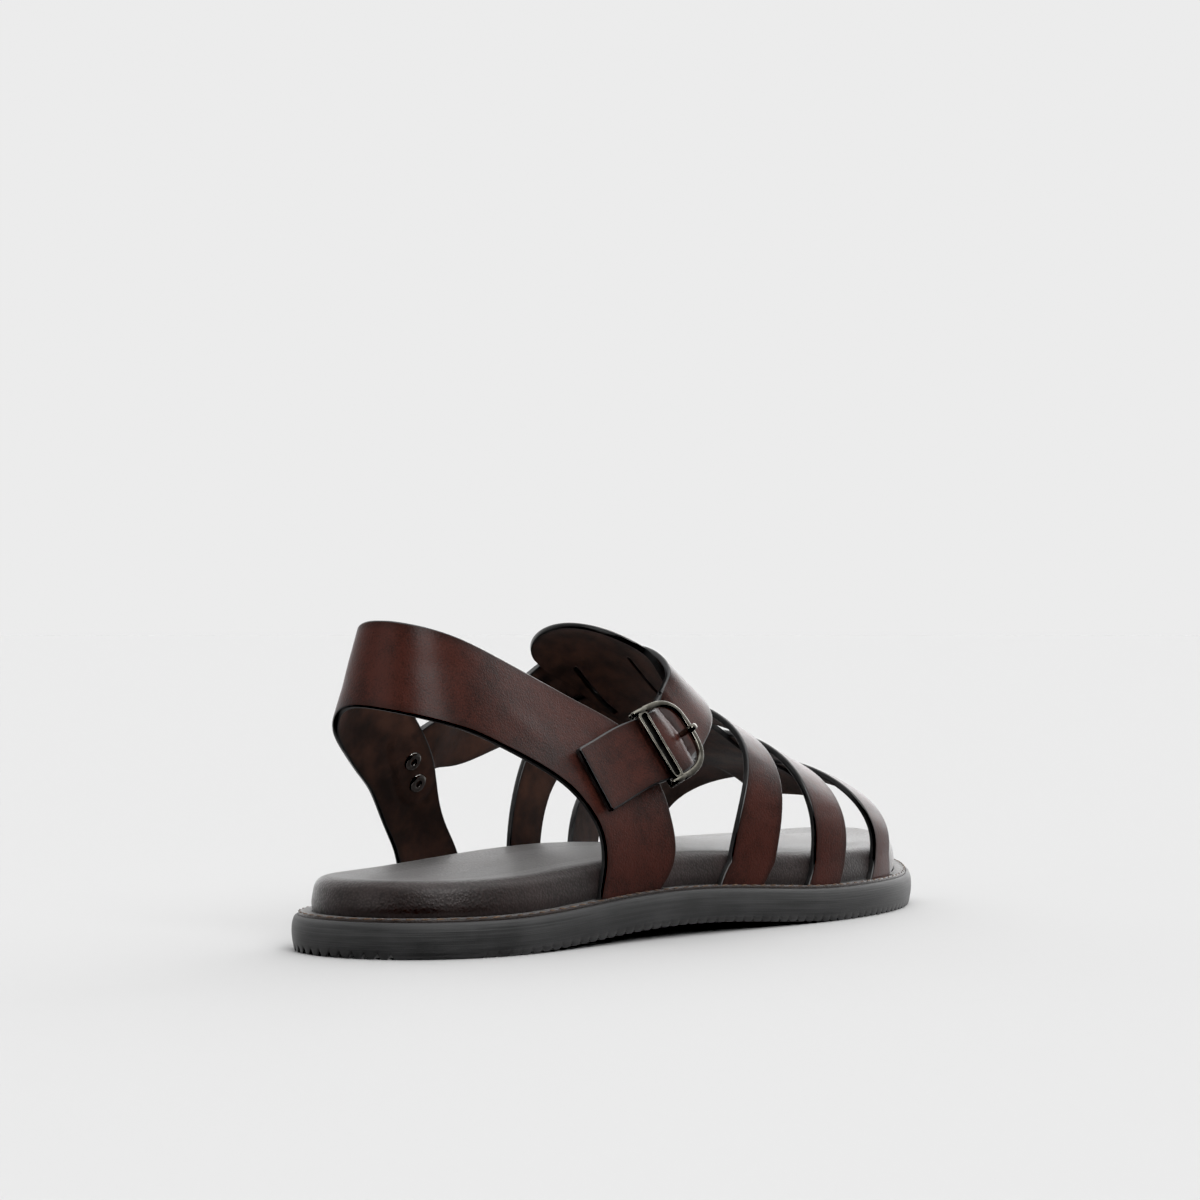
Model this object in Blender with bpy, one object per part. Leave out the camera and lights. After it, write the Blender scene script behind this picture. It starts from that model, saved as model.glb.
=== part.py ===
"""Right-foot strap sandal in metres: +X to the toe, +Y to the inner side of the foot, +Z up.

The leather follows one last. Its sections come from the sole's outline, the crest line of the
instep and the lean of the heel. The origin is on the ground under the middle of the sole.
"""
import math
from collections import namedtuple

import bmesh
import bpy
import numpy as np

# Sole
SOLE_LENGTH = 0.2920
SOLE_WIDTH = 0.1055
RUBBER_HEIGHT = 0.0112
LEDGE_DROP = 0.0008
ARCH_RISE = 0.0038
TOE_SPRING = 0.0030
TOOTH_PITCH = 0.0043
TOOTH_DEPTH = 0.0018
TOOTH_RUN = 0.0080
SMOOTH_START = 0.0260
SMOOTH_END = 0.0520

# Footbed and welt
FOOTBED_TOP = 0.0232
FOOTBED_INSET = 0.0065
FOOTBED_CUP = 0.0007
WELT_THICKNESS = 0.0015
WELT_INSET = 0.0021

# Leather upper
STRAP_LEATHER = 0.0022
TONGUE_LEATHER = 0.0020
EDGE_CHAMFER = 0.0005
TONGUE_LAP = 0.0005
INSTEP_HEIGHT = 0.1018
HEEL_STRAP_TOP = 0.1030
STRAP_BULGE = 0.0030
TONGUE_WIDTH = 0.0490
SLOT_SPACING = 0.0235
SLOT_SHIFT = 0.0030
SLOT_WIDTH = 0.0020
INSTEP_STRAP_WIDTH = 0.0228
RIVETED_WIDTH = 0.0190

# Rivets and buckle
ROUND_END = 0.0095
RIVET_RADIUS = 0.0033
RIVET_BORE = 0.0011
RIVET_BARREL = 0.0019
RIVET_FLANGE = 0.0006
WIRE_RADIUS = 0.0011
BAR_RADIUS = 0.0008
PRONG_RADIUS = 0.0008
BUCKLE_DEPTH = 0.0165
BUCKLE_TILT = 0.0012
AXLE_RISE = 0.0016
HOLE_PLACE = 0.0126
HOLE_RADIUS = 0.0018

# Clearance between neighbouring pieces
GAP = 0.0003

# What follows from them: the strap's inner face and the bars over the strap, above the quarter,
# and half the buckle's width
STRAP_RISE = AXLE_RISE + BAR_RADIUS + 5.0 * GAP
BAR_RISE = STRAP_RISE + STRAP_LEATHER + WIRE_RADIUS + GAP
BUCKLE_HALF = INSTEP_STRAP_WIDTH / 2.0 + WIRE_RADIUS + GAP

# Outline of the sole: station along the length from the heel, then the middle line's offset and the
# fullness of the half width as shares of the sole's width
Outline = namedtuple("Outline", "station middle fullness")
OUTLINE = [
    Outline(0.00, 0.020, 0.704),
    Outline(0.12, -0.017, 0.562),
    Outline(0.25, -0.033, 0.446),
    Outline(0.40, -0.058, 0.388),
    Outline(0.52, -0.058, 0.418),
    Outline(0.64, -0.029, 0.501),
    Outline(0.76, -0.003, 0.574),
    Outline(0.88, 0.018, 0.621),
    Outline(1.00, 0.051, 0.656),
]

# Stations where the heel's flat spot ends, and where the ball's begins and ends
HEEL_FLAT = 0.12
BALL_FLAT = 0.70
TOE_LIFT = 0.82

# Side of the rubber: height as a share of its height, inset from the outline as a share of it too
Wall = namedtuple("Wall", "height inset")
WALL = [Wall(0.00, 0.07), Wall(0.28, 0.015), Wall(0.72, 0.00), Wall(0.90, 0.045), Wall(1.00, 0.145)]

# Side of the footbed: height as a share of its thickness, inset from its own side as a share of it
FOOTBED_WALL = [Wall(0.00, 0.08), Wall(0.14, 0.00), Wall(0.62, 0.01), Wall(0.84, 0.08),
                Wall(0.96, 0.22), Wall(1.00, 0.48)]

# Crest line of the last: station, height as a share of the instep height, side offset of the crest
# as a share of the sole's width, and how square the outer and inner halves of the arch are
Crest = namedtuple("Crest", "station height side outer inner")
CREST = [
    Crest(0.38, 1.000, 0.010, 2.4, 2.6),
    Crest(0.43, 0.978, 0.012, 2.4, 2.6),
    Crest(0.48, 0.890, 0.018, 2.4, 2.6),
    Crest(0.53, 0.785, 0.025, 2.4, 2.5),
    Crest(0.58, 0.705, 0.035, 2.4, 2.4),
    Crest(0.64, 0.628, 0.045, 2.4, 2.4),
    Crest(0.70, 0.554, 0.055, 2.4, 2.4),
    Crest(0.78, 0.487, 0.060, 2.4, 2.4),
    Crest(0.85, 0.378, 0.060, 2.5, 2.5),
    Crest(0.92, 0.250, 0.060, 2.5, 2.5),
]

# Edges of the cross straps as stations along the sole, from the outer base over the crest to the
# inner base
Edge = namedtuple("Edge", "outer_base outer_leg outer_side crest inner_side inner_leg inner_base")
CROSS_STRAPS = [
    (Edge(0.477, 0.496, 0.541, 0.547, 0.474, 0.398, 0.394),
     Edge(0.548, 0.570, 0.594, 0.608, 0.552, 0.456, 0.451)),
    (Edge(0.623, 0.636, 0.634, 0.645, 0.605, 0.528, 0.525),
     Edge(0.686, 0.699, 0.698, 0.704, 0.676, 0.604, 0.598)),
    (Edge(0.757, 0.770, 0.752, 0.748, 0.723, 0.676, 0.668),
     Edge(0.824, 0.820, 0.806, 0.806, 0.788, 0.750, 0.742)),
]
EDGE_PLACES = (0.0, 0.12, 0.27, 0.50, 0.73, 0.88, 1.0)

# Share of a cross strap's way that is its upright leg, and the leg's top as a share of the footbed's
LEG_SHARE = 0.12
LEG_TOP = 0.86

# Heel piece from the outer base round the heel to the inner base: station and height share of the
# lower (inner) and upper (outer) edges; None is the foot of a leg
Ribbon = namedtuple("Ribbon", "side low_station low_height top_station top_height")
OUTER_RIBBON = [
    Ribbon(-1, 0.282, None, 0.380, None),
    Ribbon(-1, 0.286, 0.240, 0.402, 0.240),
    Ribbon(-1, 0.282, 0.340, 0.400, 0.365),
    Ribbon(-1, 0.272, 0.400, 0.397, 0.440),
    Ribbon(-1, 0.256, 0.460, 0.390, 0.540),
    Ribbon(-1, 0.231, 0.517, 0.372, 0.645),
    Ribbon(-1, 0.193, 0.575, 0.310, 0.740),
    Ribbon(-1, 0.149, 0.633, 0.222, 0.849),
    Ribbon(-1, 0.098, 0.690, 0.128, 0.955),
]
INNER_RIBBON = [
    Ribbon(1, 0.070, 0.680, 0.112, 0.925),
    Ribbon(1, 0.106, 0.595, 0.170, 0.790),
    Ribbon(1, 0.143, 0.519, 0.216, 0.665),
    Ribbon(1, 0.169, 0.465, 0.252, 0.560),
    Ribbon(1, 0.191, 0.398, 0.276, 0.450),
    Ribbon(1, 0.213, 0.315, 0.297, 0.345),
    Ribbon(1, 0.226, 0.235, 0.317, 0.240),
    Ribbon(1, 0.226, None, 0.314, None),
]
BACK_LOW = 0.738
BACK_TOP = 1.0

# Lean of the heel and sides: height and inward insets as shares of the heel strap's height
Lean = namedtuple("Lean", "height back side")
LEAN = [
    Lean(0.10, 0.000, 0.000),
    Lean(0.165, 0.000, 0.002),
    Lean(0.24, -0.005, -0.008),
    Lean(0.40, 0.012, 0.005),
    Lean(0.53, 0.040, 0.055),
    Lean(0.63, 0.065, 0.105),
    Lean(0.74, 0.095, 0.155),
    Lean(0.87, 0.130, 0.210),
    Lean(1.00, 0.165, 0.270),
]
SIDE_STATION = 0.30

# Tongue along the sole: half widths and arc radii of its outer and inner halves, as shares of its
# width
Tongue = namedtuple("Tongue", "station outer inner outer_arc inner_arc")
TONGUE = [
    Tongue(0.38, 0.50, 0.50, 1.05, 1.00),
    Tongue(0.42, 0.50, 0.50, 0.98, 0.76),
    Tongue(0.45, 0.48, 0.48, 0.92, 0.54),
    Tongue(0.48, 0.43, 0.42, 0.86, 0.50),
    Tongue(0.52, 0.37, 0.37, 0.80, 0.50),
    Tongue(0.60, 0.33, 0.33, 0.80, 0.50),
    Tongue(0.70, 0.30, 0.30, 0.80, 0.50),
    Tongue(0.85, 0.28, 0.28, 0.80, 0.50),
]
TONGUE_BACK = 0.395
TONGUE_FRONT = 0.842
TONGUE_BOW = 0.038
SLOT_BACK = 0.478
SLOT_FRONT = 0.548


# Instep strap's middle line, in order: on the inner quarter, free beside the instep, over the
# tongue (before the last free row), in the buckle and on the outer quarter. Lifts are in gaps.
OnInner = namedtuple("OnInner", "station height lift")
STRAP_ON_INNER = [OnInner(0.240, 0.427, 1.0), OnInner(0.233, 0.519, 1.0), OnInner(0.255, 0.583, 2.3)]
Free = namedtuple("Free", "station side height forward sideways upward")
STRAP_FREE = [
    Free(0.308, 0.258, 0.629, -0.02, 0.95, 0.30),
    Free(0.363, 0.260, 0.668, 0.02, 0.95, 0.32),
    Free(0.418, 0.279, 0.707, 0.04, 0.93, 0.37),
    Free(0.466, 0.283, 0.766, 0.22, 0.83, 0.51),
    Free(0.4925, -0.250, 0.764, 0.36, -0.62, 0.70),
]
OnTongue = namedtuple("OnTongue", "station across lift")
STRAP_ON_TONGUE = [OnTongue(0.497, 0.60, 8.0), OnTongue(0.506, 0.00, 3.3), OnTongue(0.503, -0.60, 8.0)]
InBuckle = namedtuple("InBuckle", "along down rise")
STRAP_IN_BUCKLE = [InBuckle(1.06, -0.110, 0.49), InBuckle(0.667, -0.022, 0.92), InBuckle(0.303, 0.0, 1.13),
                   InBuckle(0.0, 0.0, 1.0)]
OnOuter = namedtuple("OnOuter", "back below lift")
STRAP_ON_OUTER = [OnOuter(0.0342, 0.0272, 7.3), OnOuter(0.0719, 0.0563, 3.0), OnOuter(0.1113, 0.0874, 2.0)]
BUCKLE_STATION = 0.396
BUCKLE_HEIGHT = 0.570
BUCKLE_ALONG = (0.965, 0.05, 0.26)


class Curve:
    """Smooth curve through a few rows chosen by hand (a natural cubic spline)."""

    def __init__(self, places, values):
        self.x = np.array(places, float)
        self.y = np.array(values, float)
        n = len(self.x)
        step = np.diff(self.x)
        matrix = np.eye(n)
        right = np.zeros(n)
        for i in range(1, n - 1):
            matrix[i, i - 1:i + 2] = step[i - 1], 2.0 * (step[i - 1] + step[i]), step[i]
            slopes = (self.y[i + 1] - self.y[i]) / step[i], (self.y[i] - self.y[i - 1]) / step[i - 1]
            right[i] = 6.0 * (slopes[0] - slopes[1])
        self.bend = np.linalg.solve(matrix, right)
        self.step = step

    def __call__(self, place):
        place = np.clip(place, self.x[0], self.x[-1])
        i = np.clip(np.searchsorted(self.x, place) - 1, 0, len(self.step) - 1)
        h = self.step[i]
        a = (self.x[i + 1] - place) / h
        b = 1.0 - a
        cubic = ((a ** 3 - a) * self.bend[i] + (b ** 3 - b) * self.bend[i + 1]) * h * h / 6.0
        return a * self.y[i] + b * self.y[i + 1] + cubic


def column(table, name):
    """The values of one named column."""
    return [getattr(row, name) for row in table]


def curve_of(table, name, place="station"):
    """A curve of one named column against another."""
    return Curve(column(table, place), column(table, name))


MIDDLE = curve_of(OUTLINE, "middle")
FULLNESS = curve_of(OUTLINE, "fullness")
CREST_HEIGHT = curve_of(CREST, "height")
CREST_SIDE = curve_of(CREST, "side")
CREST_OUTER = curve_of(CREST, "outer")
CREST_INNER = curve_of(CREST, "inner")
LEAN_BACK = curve_of(LEAN, "back", "height")
LEAN_SIDE = curve_of(LEAN, "side", "height")
TONGUE_HALF = {-1: curve_of(TONGUE, "outer"), 1: curve_of(TONGUE, "inner")}
TONGUE_ARC = {-1: curve_of(TONGUE, "outer_arc"), 1: curve_of(TONGUE, "inner_arc")}


def station_x(station):
    """The x of a station."""
    return (station - 0.5) * SOLE_LENGTH


def x_station(x):
    """The station of an x."""
    return x / SOLE_LENGTH + 0.5


class Rim:
    """The sole's outline by its length from the middle of the heel: + inner side, - outer side."""

    def __init__(self, samples=721):
        turn = np.linspace(-math.pi, math.pi, samples)
        station = (1.0 - np.cos(turn)) / 2.0
        x = station_x(station)
        y = (MIDDLE(station) + np.sin(turn) * FULLNESS(station)) * SOLE_WIDTH
        self.shift = -(y.max() + y.min()) / 2.0
        self.points = np.column_stack([x, y + self.shift])
        run = np.concatenate([[0.0], np.cumsum(np.linalg.norm(np.diff(self.points, axis=0), axis=1))])
        self.run = run - run[samples // 2]
        tangent = np.gradient(self.points, self.run, axis=0)
        tangent[0] = tangent[-1] = (tangent[0] + tangent[-1]) / 2.0
        tangent /= np.linalg.norm(tangent, axis=1)[:, None]
        self.normal = np.column_stack([-tangent[:, 1], tangent[:, 0]])

    def at(self, run, inset=0.0):
        """The point on the outline moved in by an inset."""
        x = np.interp(run, self.run, self.points[:, 0] - self.normal[:, 0] * inset)
        y = np.interp(run, self.run, self.points[:, 1] - self.normal[:, 1] * inset)
        return np.array([x, y])

    def run_at(self, x, inset, side):
        """The length along the rim where the inset outline of one side reaches x."""
        half = self.run >= 0.0 if side > 0 else self.run <= 0.0
        places = (self.points[:, 0] - self.normal[:, 0] * inset)[half]
        runs = self.run[half]
        order = np.argsort(places)
        return float(np.interp(x, places[order], runs[order]))

    def side_y(self, x, inset, side):
        """The y of the inset outline at x on one side."""
        return self.at(self.run_at(x, inset, side), inset)[1]


RIM = Rim()


def sole_rise(x):
    """Height of the tread above the ground: flat heel, arched waist, flat forefoot, toe spring."""
    station = x_station(x)
    arch = np.clip((station - HEEL_FLAT) / (BALL_FLAT - HEEL_FLAT), 0.0, 1.0)
    toe = np.clip((station - TOE_LIFT) / (1.0 - TOE_LIFT), 0.0, 1.0)
    return ARCH_RISE * np.sin(math.pi * arch) ** 2 + TOE_SPRING * toe ** 2


def ledge(x):
    """Height of the ledge that welt, straps and footbed stand on."""
    return sole_rise(x) + RUBBER_HEIGHT - LEDGE_DROP


def leg_foot(x):
    """Height at which a strap's leg starts."""
    return ledge(x) + GAP


LEG_INSET = FOOTBED_INSET - GAP


def arch_point(x, place):
    """A point of the last's skin at x; place runs 0 at the outer foot to 1 at the inner foot."""
    side = -1 if place < 0.5 else 1
    station = x_station(x)
    edge = RIM.side_y(x, LEG_INSET, side)
    foot = leg_foot(x)
    spring = sole_rise(x) + FOOTBED_TOP * LEG_TOP
    share = min(place, 1.0 - place)
    if share < LEG_SHARE:
        return np.array([x, edge, foot + (spring - foot) * share / LEG_SHARE])
    turn = (share - LEG_SHARE) / (0.5 - LEG_SHARE) * math.pi / 2.0
    crest = CREST_HEIGHT(station) * INSTEP_HEIGHT
    middle = CREST_SIDE(station) * SOLE_WIDTH + RIM.shift
    power = 2.0 / (CREST_OUTER(station) if side < 0 else CREST_INNER(station))
    out = abs(edge - middle) * math.cos(turn) ** power if turn < math.pi / 2.0 - 1e-9 else 0.0
    out += STRAP_BULGE * math.sin(2.0 * turn) * math.cos(turn)
    return np.array([x, middle + side * out, spring + (crest - spring) * math.sin(turn) ** power])


def surface_normal(surface, u, v, du, dv, away):
    """Unit normal of a surface(u, v), pointing away from a point."""
    along = surface(u + du, v) - surface(u - du, v)
    across = surface(u, v + dv) - surface(u, v - dv)
    normal = np.cross(along, across)
    normal /= np.linalg.norm(normal)
    return normal if np.dot(normal, surface(u, v) - away) > 0.0 else -normal


def arch_skin(x, place, lift):
    """A point lifted off the last's skin along its normal."""
    core = np.array([x, RIM.shift, 1.3 * FOOTBED_TOP])
    inner = min(max(place, 0.004), 0.996)
    normal = surface_normal(arch_point, x, inner, 0.001, 0.004, core)
    return arch_point(x, place) + normal * lift


def heel_inset(run, height):
    """How far the heel piece's inner face stands in from the outline."""
    share = height / HEEL_STRAP_TOP
    x = RIM.at(run)[0]
    side = np.clip(x_station(x) / SIDE_STATION, 0.0, 1.0)
    side = side * side * (3.0 - 2.0 * side)
    return LEG_INSET + HEEL_STRAP_TOP * (LEAN_BACK(share) * (1.0 - side) + LEAN_SIDE(share) * side)


def heel_point(run, height):
    """A point of the heel piece's inner face."""
    x, y = RIM.at(run, heel_inset(run, height))
    return np.array([x, y, height])


def heel_normal(run, height):
    """Outward normal of the heel piece."""
    core = np.array([station_x(0.25), RIM.shift, height])
    return surface_normal(heel_point, run, height, 0.002, 0.002, core)


def heel_skin(run, height, lift):
    """A point lifted off the heel piece's inner face."""
    return heel_point(run, height) + heel_normal(run, height) * lift


def heel_run(x, height, side):
    """The length along the rim of the heel piece's point at x."""
    run = RIM.run_at(x, LEG_INSET, side)
    for _ in range(6):
        run = RIM.run_at(x, heel_inset(run, height), side)
    return run


def tongue_point(x, across, lift):
    """A point of the tongue: across is -1 at its outer edge, +1 at its inner edge."""
    station = x_station(x)
    side = 1 if across >= 0.0 else -1
    dy = across * TONGUE_HALF[side](station) * TONGUE_WIDTH
    middle = CREST_SIDE(station) * SOLE_WIDTH + RIM.shift
    crest = CREST_HEIGHT(station) * INSTEP_HEIGHT
    edge = RIM.side_y(x, LEG_INSET, side)
    spring = sole_rise(x) + FOOTBED_TOP * LEG_TOP
    power = CREST_OUTER(station) if side < 0 else CREST_INNER(station)
    fall = (1.0 - min(abs(dy / (edge - middle)), 0.95) ** power) ** (1.0 / power)
    round_z = spring + (crest - spring) * fall
    flat_z = crest - dy * dy / (2.0 * TONGUE_ARC[side](station) * TONGUE_WIDTH)
    blend = np.clip((station - 0.48) / 0.08, 0.0, 1.0)
    z = flat_z * (1.0 - blend) + round_z * blend
    return np.array([x, middle + dy, z + lift])


def tongue_skin(x, across, lift):
    """A point lifted off the last along the tongue's own normal."""
    def surface(px, pa):
        return tongue_point(px, pa, 0.0)
    core = np.array([x, RIM.shift, 0.86 * FOOTBED_TOP])
    return surface(x, across) + surface_normal(surface, x, across, 0.002, 0.04, core) * lift


def finish(name, vertices, faces, material):
    """One closed object from points and faces, its faces turned outwards."""
    mesh = bpy.data.meshes.new(name)
    mesh.from_pydata([tuple(map(float, v)) for v in vertices], [], faces)
    form = bmesh.new()
    form.from_mesh(mesh)
    bmesh.ops.remove_doubles(form, verts=form.verts, dist=1e-6)
    bmesh.ops.recalc_face_normals(form, faces=form.faces)
    form.to_mesh(mesh)
    form.free()
    return place(name, mesh, material)


def place(name, mesh, material):
    """An object in the scene with its material and smooth shading."""
    mesh.materials.clear()
    mesh.materials.append(material)
    mesh.shade_smooth()
    mesh.set_sharp_from_angle(angle=math.radians(35.0))
    thing = bpy.data.objects.new(name, mesh)
    bpy.context.collection.objects.link(thing)
    return thing


def combine(thing, others, operation):
    """Apply a Boolean of one object with others, which are used up."""
    for other in others:
        cut = thing.modifiers.new("join", "BOOLEAN")
        cut.operation = operation
        cut.object = other
        cut.solver = "EXACT"
    bpy.context.view_layer.update()
    result = bpy.data.meshes.new_from_object(thing.evaluated_get(bpy.context.evaluated_depsgraph_get()))
    thing.modifiers.clear()
    thing.data = result
    for other in others:
        bpy.data.objects.remove(other)
    form = bmesh.new()
    form.from_mesh(result)
    bmesh.ops.remove_doubles(form, verts=form.verts, dist=2e-6)
    bmesh.ops.dissolve_degenerate(form, edges=form.edges, dist=2e-6)
    bmesh.ops.triangulate(form, faces=form.faces)
    form.to_mesh(result)
    form.free()
    return thing


def ring_runs(count):
    """Lengths along the rim for a ring of 2*count points: heel, inner side, toe, outer side."""
    inner = np.linspace(0.0, RIM.run[-1], count + 1)
    outer = np.linspace(RIM.run[0], 0.0, count + 1)
    return np.concatenate([inner, outer[1:-1]])


def ring(runs, inset, height):
    """A ring of points at an inset; height is a function of x."""
    points = []
    for run in runs:
        x, y = RIM.at(run, inset)
        points.append((x, y, float(height(x))))
    return points


def strips(first, count, flip):
    """Faces across a ring of 2*count points, from side to side."""
    last = 2 * count
    faces = [(first, first + 1, first + last - 1), (first + count - 1, first + count, first + count + 1)]
    for i in range(1, count - 1):
        faces.append((first + i, first + i + 1, first + last - i - 1, first + last - i))
    return [face[::-1] for face in faces] if flip else faces


def walls(first, second, size):
    """Faces between two rings of the same size."""
    return [(first + i, first + (i + 1) % size, second + (i + 1) % size, second + i) for i in range(size)]


def make_outsole(material):
    """Rubber sole: toothed edge, bowed side, rounded lip and a sunk ledge."""
    count = int(round((RIM.run[-1] - RIM.run[0]) / TOOTH_PITCH / 2.0))
    runs = ring_runs(count)
    size = len(runs)
    following = np.append(runs[1:], runs[0])
    following[count] = RIM.run[0] * (1.0 - 1.0 / count)
    starts = runs.copy()
    starts[count] = RIM.run[0]
    following[-1] = 0.0

    def notch(run):
        return 0.0 if SMOOTH_START < -run < SMOOTH_END else TOOTH_DEPTH

    vertices = ring(runs, TOOTH_RUN, sole_rise)
    edge_inset = WALL[0].inset * RUBBER_HEIGHT
    for i in range(size):
        for share in (0.0, 0.48, 0.74):
            run = starts[i] + (following[i] - starts[i]) * share
            x, y = RIM.at(run, edge_inset if share < 0.7 else edge_inset * 0.6)
            lift = notch(run) if share > 0.7 else 0.0
            vertices.append((x, y, float(sole_rise(x)) + lift))
    faces = strips(0, count, True)
    edge = size
    wall = size + 3 * size
    for i in range(size):
        j = (i + 1) % size
        a, b, c, d = edge + 3 * i, edge + 3 * i + 1, edge + 3 * i + 2, edge + 3 * j
        faces += [(i, a, b), (i, b, c), (i, c, j), (j, c, d)]
        faces += [(wall + i, b, a), (wall + i, c, b), (wall + i, wall + j, c), (wall + j, d, c)]
    for row in WALL[1:]:
        vertices += ring(runs, row.inset * RUBBER_HEIGHT,
                         lambda x, h=row.height: sole_rise(x) + h * RUBBER_HEIGHT)
    for k in range(len(WALL) - 2):
        faces += walls(wall + k * size, wall + (k + 1) * size, size)
    vertices += ring(runs, WELT_INSET - GAP, ledge)
    top = wall + (len(WALL) - 1) * size
    faces += walls(top - size, top, size)
    faces += strips(top, count, False)
    return finish("outsole", vertices, faces, material)


def make_footbed(material):
    """Leather-covered footbed with a rounded shoulder and a slightly cupped top."""
    count = 46
    runs = ring_runs(count)
    size = len(runs)
    thickness = FOOTBED_TOP - (RUBBER_HEIGHT - LEDGE_DROP + GAP)
    vertices = []
    for row in FOOTBED_WALL:
        vertices += ring(runs, FOOTBED_INSET + row.inset * thickness,
                         lambda x, h=row.height: ledge(x) + GAP + h * thickness)
    vertices += ring(runs, FOOTBED_INSET + thickness * 1.3,
                     lambda x: ledge(x) + GAP + thickness - FOOTBED_CUP)
    faces = strips(0, count, True)
    for k in range(len(FOOTBED_WALL)):
        faces += walls(k * size, (k + 1) * size, size)
    faces += strips(len(FOOTBED_WALL) * size, count, False)
    return finish("footbed", vertices, faces, material)


def leg_spans():
    """Where the straps' legs stand on the rim, as pairs of lengths."""
    spans = []
    for rear, front in CROSS_STRAPS:
        for side, name in ((-1, "outer_base"), (1, "inner_base")):
            spans.append(sorted(RIM.run_at(station_x(getattr(edge, name)), LEG_INSET, side)
                                for edge in (rear, front)))
    for row in (OUTER_RIBBON[0], INNER_RIBBON[-1]):
        spans.append(sorted(RIM.run_at(station_x(s), LEG_INSET, row.side)
                            for s in (row.low_station, row.top_station)))
    return spans


def make_welt(material):
    """Flat strip on the ledge, set back where a leg passes down beside the footbed."""
    margin = 5.0 * GAP
    base = list(ring_runs(60))
    relief = LEG_INSET - STRAP_LEATHER - 3.0 * GAP
    stops = [(run, LEG_INSET) for run in base]
    for low, high in leg_spans():
        low, high = low - margin, high + margin
        stops = [s for s in stops if not low - margin < s[0] < high + margin]
        stops += [(low - GAP, LEG_INSET), (low, relief), (high, relief), (high + GAP, LEG_INSET)]
        inside = int((high - low) / FOOTBED_INSET)
        stops += [(low + (high - low) * (k + 1) / (inside + 1), relief) for k in range(inside)]
    stops.sort()
    vertices = []
    bevel = WELT_THICKNESS * 0.35
    for run, inner in stops:
        for inset, height in ((WELT_INSET, 0.0), (WELT_INSET, WELT_THICKNESS - bevel),
                              (WELT_INSET + bevel, WELT_THICKNESS), (inner, WELT_THICKNESS), (inner, 0.0)):
            x, y = RIM.at(run, inset)
            vertices.append((x, y, float(ledge(x)) + GAP + height))
    faces = []
    size = len(stops)
    for i in range(size):
        for k in range(5):
            a, b = i * 5, (i + 1) % size * 5
            faces.append((a + k, b + k, b + (k + 1) % 5, a + (k + 1) % 5))
    return finish("welt", vertices, faces, material)


def band(name, skin, samples, columns, leather, material, lift=0.0):
    """A strap: skin(sample, share, lift) gives its points; the outer edges are chamfered."""
    chamfer = EDGE_CHAMFER / INSTEP_STRAP_WIDTH
    inner = [(v, 0.0) for v in columns]
    outer = [(1.0, leather - EDGE_CHAMFER), (1.0 - chamfer, leather)]
    outer += [(v, leather) for v in reversed(columns[1:-1])]
    outer += [(chamfer, leather), (0.0, leather - EDGE_CHAMFER)]
    section = inner + outer
    size = len(section)
    vertices = [skin(s, v, n + lift) for s in samples for v, n in section]
    faces = [tuple(range(size)), tuple(range((len(samples) - 1) * size, len(samples) * size))]
    for i in range(len(samples) - 1):
        for k in range(size):
            a, b = i * size, (i + 1) * size
            faces.append((a + k, a + (k + 1) % size, b + (k + 1) % size, b + k))
    return finish(name, vertices, faces, material)


def make_cross_strap(name, rear, front, material):
    """One cross strap between two edge curves on the last."""
    rear_at = Curve(EDGE_PLACES, [station_x(s) for s in rear])
    front_at = Curve(EDGE_PLACES, [station_x(s) for s in front])

    def skin(place, share, lift):
        x = rear_at(place) * (1.0 - share) + front_at(place) * share
        return arch_skin(float(x), place, lift)

    rising = [0.0, LEG_SHARE * 0.5] + [LEG_SHARE + (0.5 - LEG_SHARE) * k / 9.0 for k in range(9)]
    samples = rising + [0.5] + [1.0 - p for p in reversed(rising)]
    return band(name, skin, samples, (0.0, 0.5, 1.0), STRAP_LEATHER, material)


def make_tongue(material):
    """Tongue strip with a round paddle at the ankle; it laps into the cross straps above it."""
    turns = np.linspace(-math.pi / 2.0, math.pi / 2.0, 13)
    shares = [0.0, 0.03, 0.08, 0.15, 0.22, 0.29, 0.36, 0.44, 0.53, 0.63, 0.74, 0.87, 1.0]
    vertices = []
    for lift in (TONGUE_LAP, TONGUE_LAP - TONGUE_LEATHER):
        for share in shares:
            for turn in turns:
                across = math.sin(turn)
                back = TONGUE_BACK + TONGUE_BOW * (1.0 - math.cos(turn))
                station = back + (TONGUE_FRONT - back) * share
                vertices.append(tongue_skin(station_x(station), across, lift))
    rows, cols = len(shares), len(turns)
    under = rows * cols
    faces = []
    for i in range(rows - 1):
        for j in range(cols - 1):
            a = i * cols + j
            faces.append((a, a + 1, a + cols + 1, a + cols))
            faces.append((under + a, under + a + cols, under + a + cols + 1, under + a + 1))
    border = [j for j in range(cols)]
    border += [i * cols + cols - 1 for i in range(1, rows)]
    border += [(rows - 1) * cols + j for j in range(cols - 2, -1, -1)]
    border += [i * cols for i in range(rows - 2, 0, -1)]
    for a, b in zip(border, border[1:] + border[:1]):
        faces.append((a, b, under + b, under + a))
    tongue = finish("tongue", vertices, faces, material)
    slots = [make_slot(side, material) for side in (-1, 1)]
    return combine(tongue, slots, "DIFFERENCE")


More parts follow.
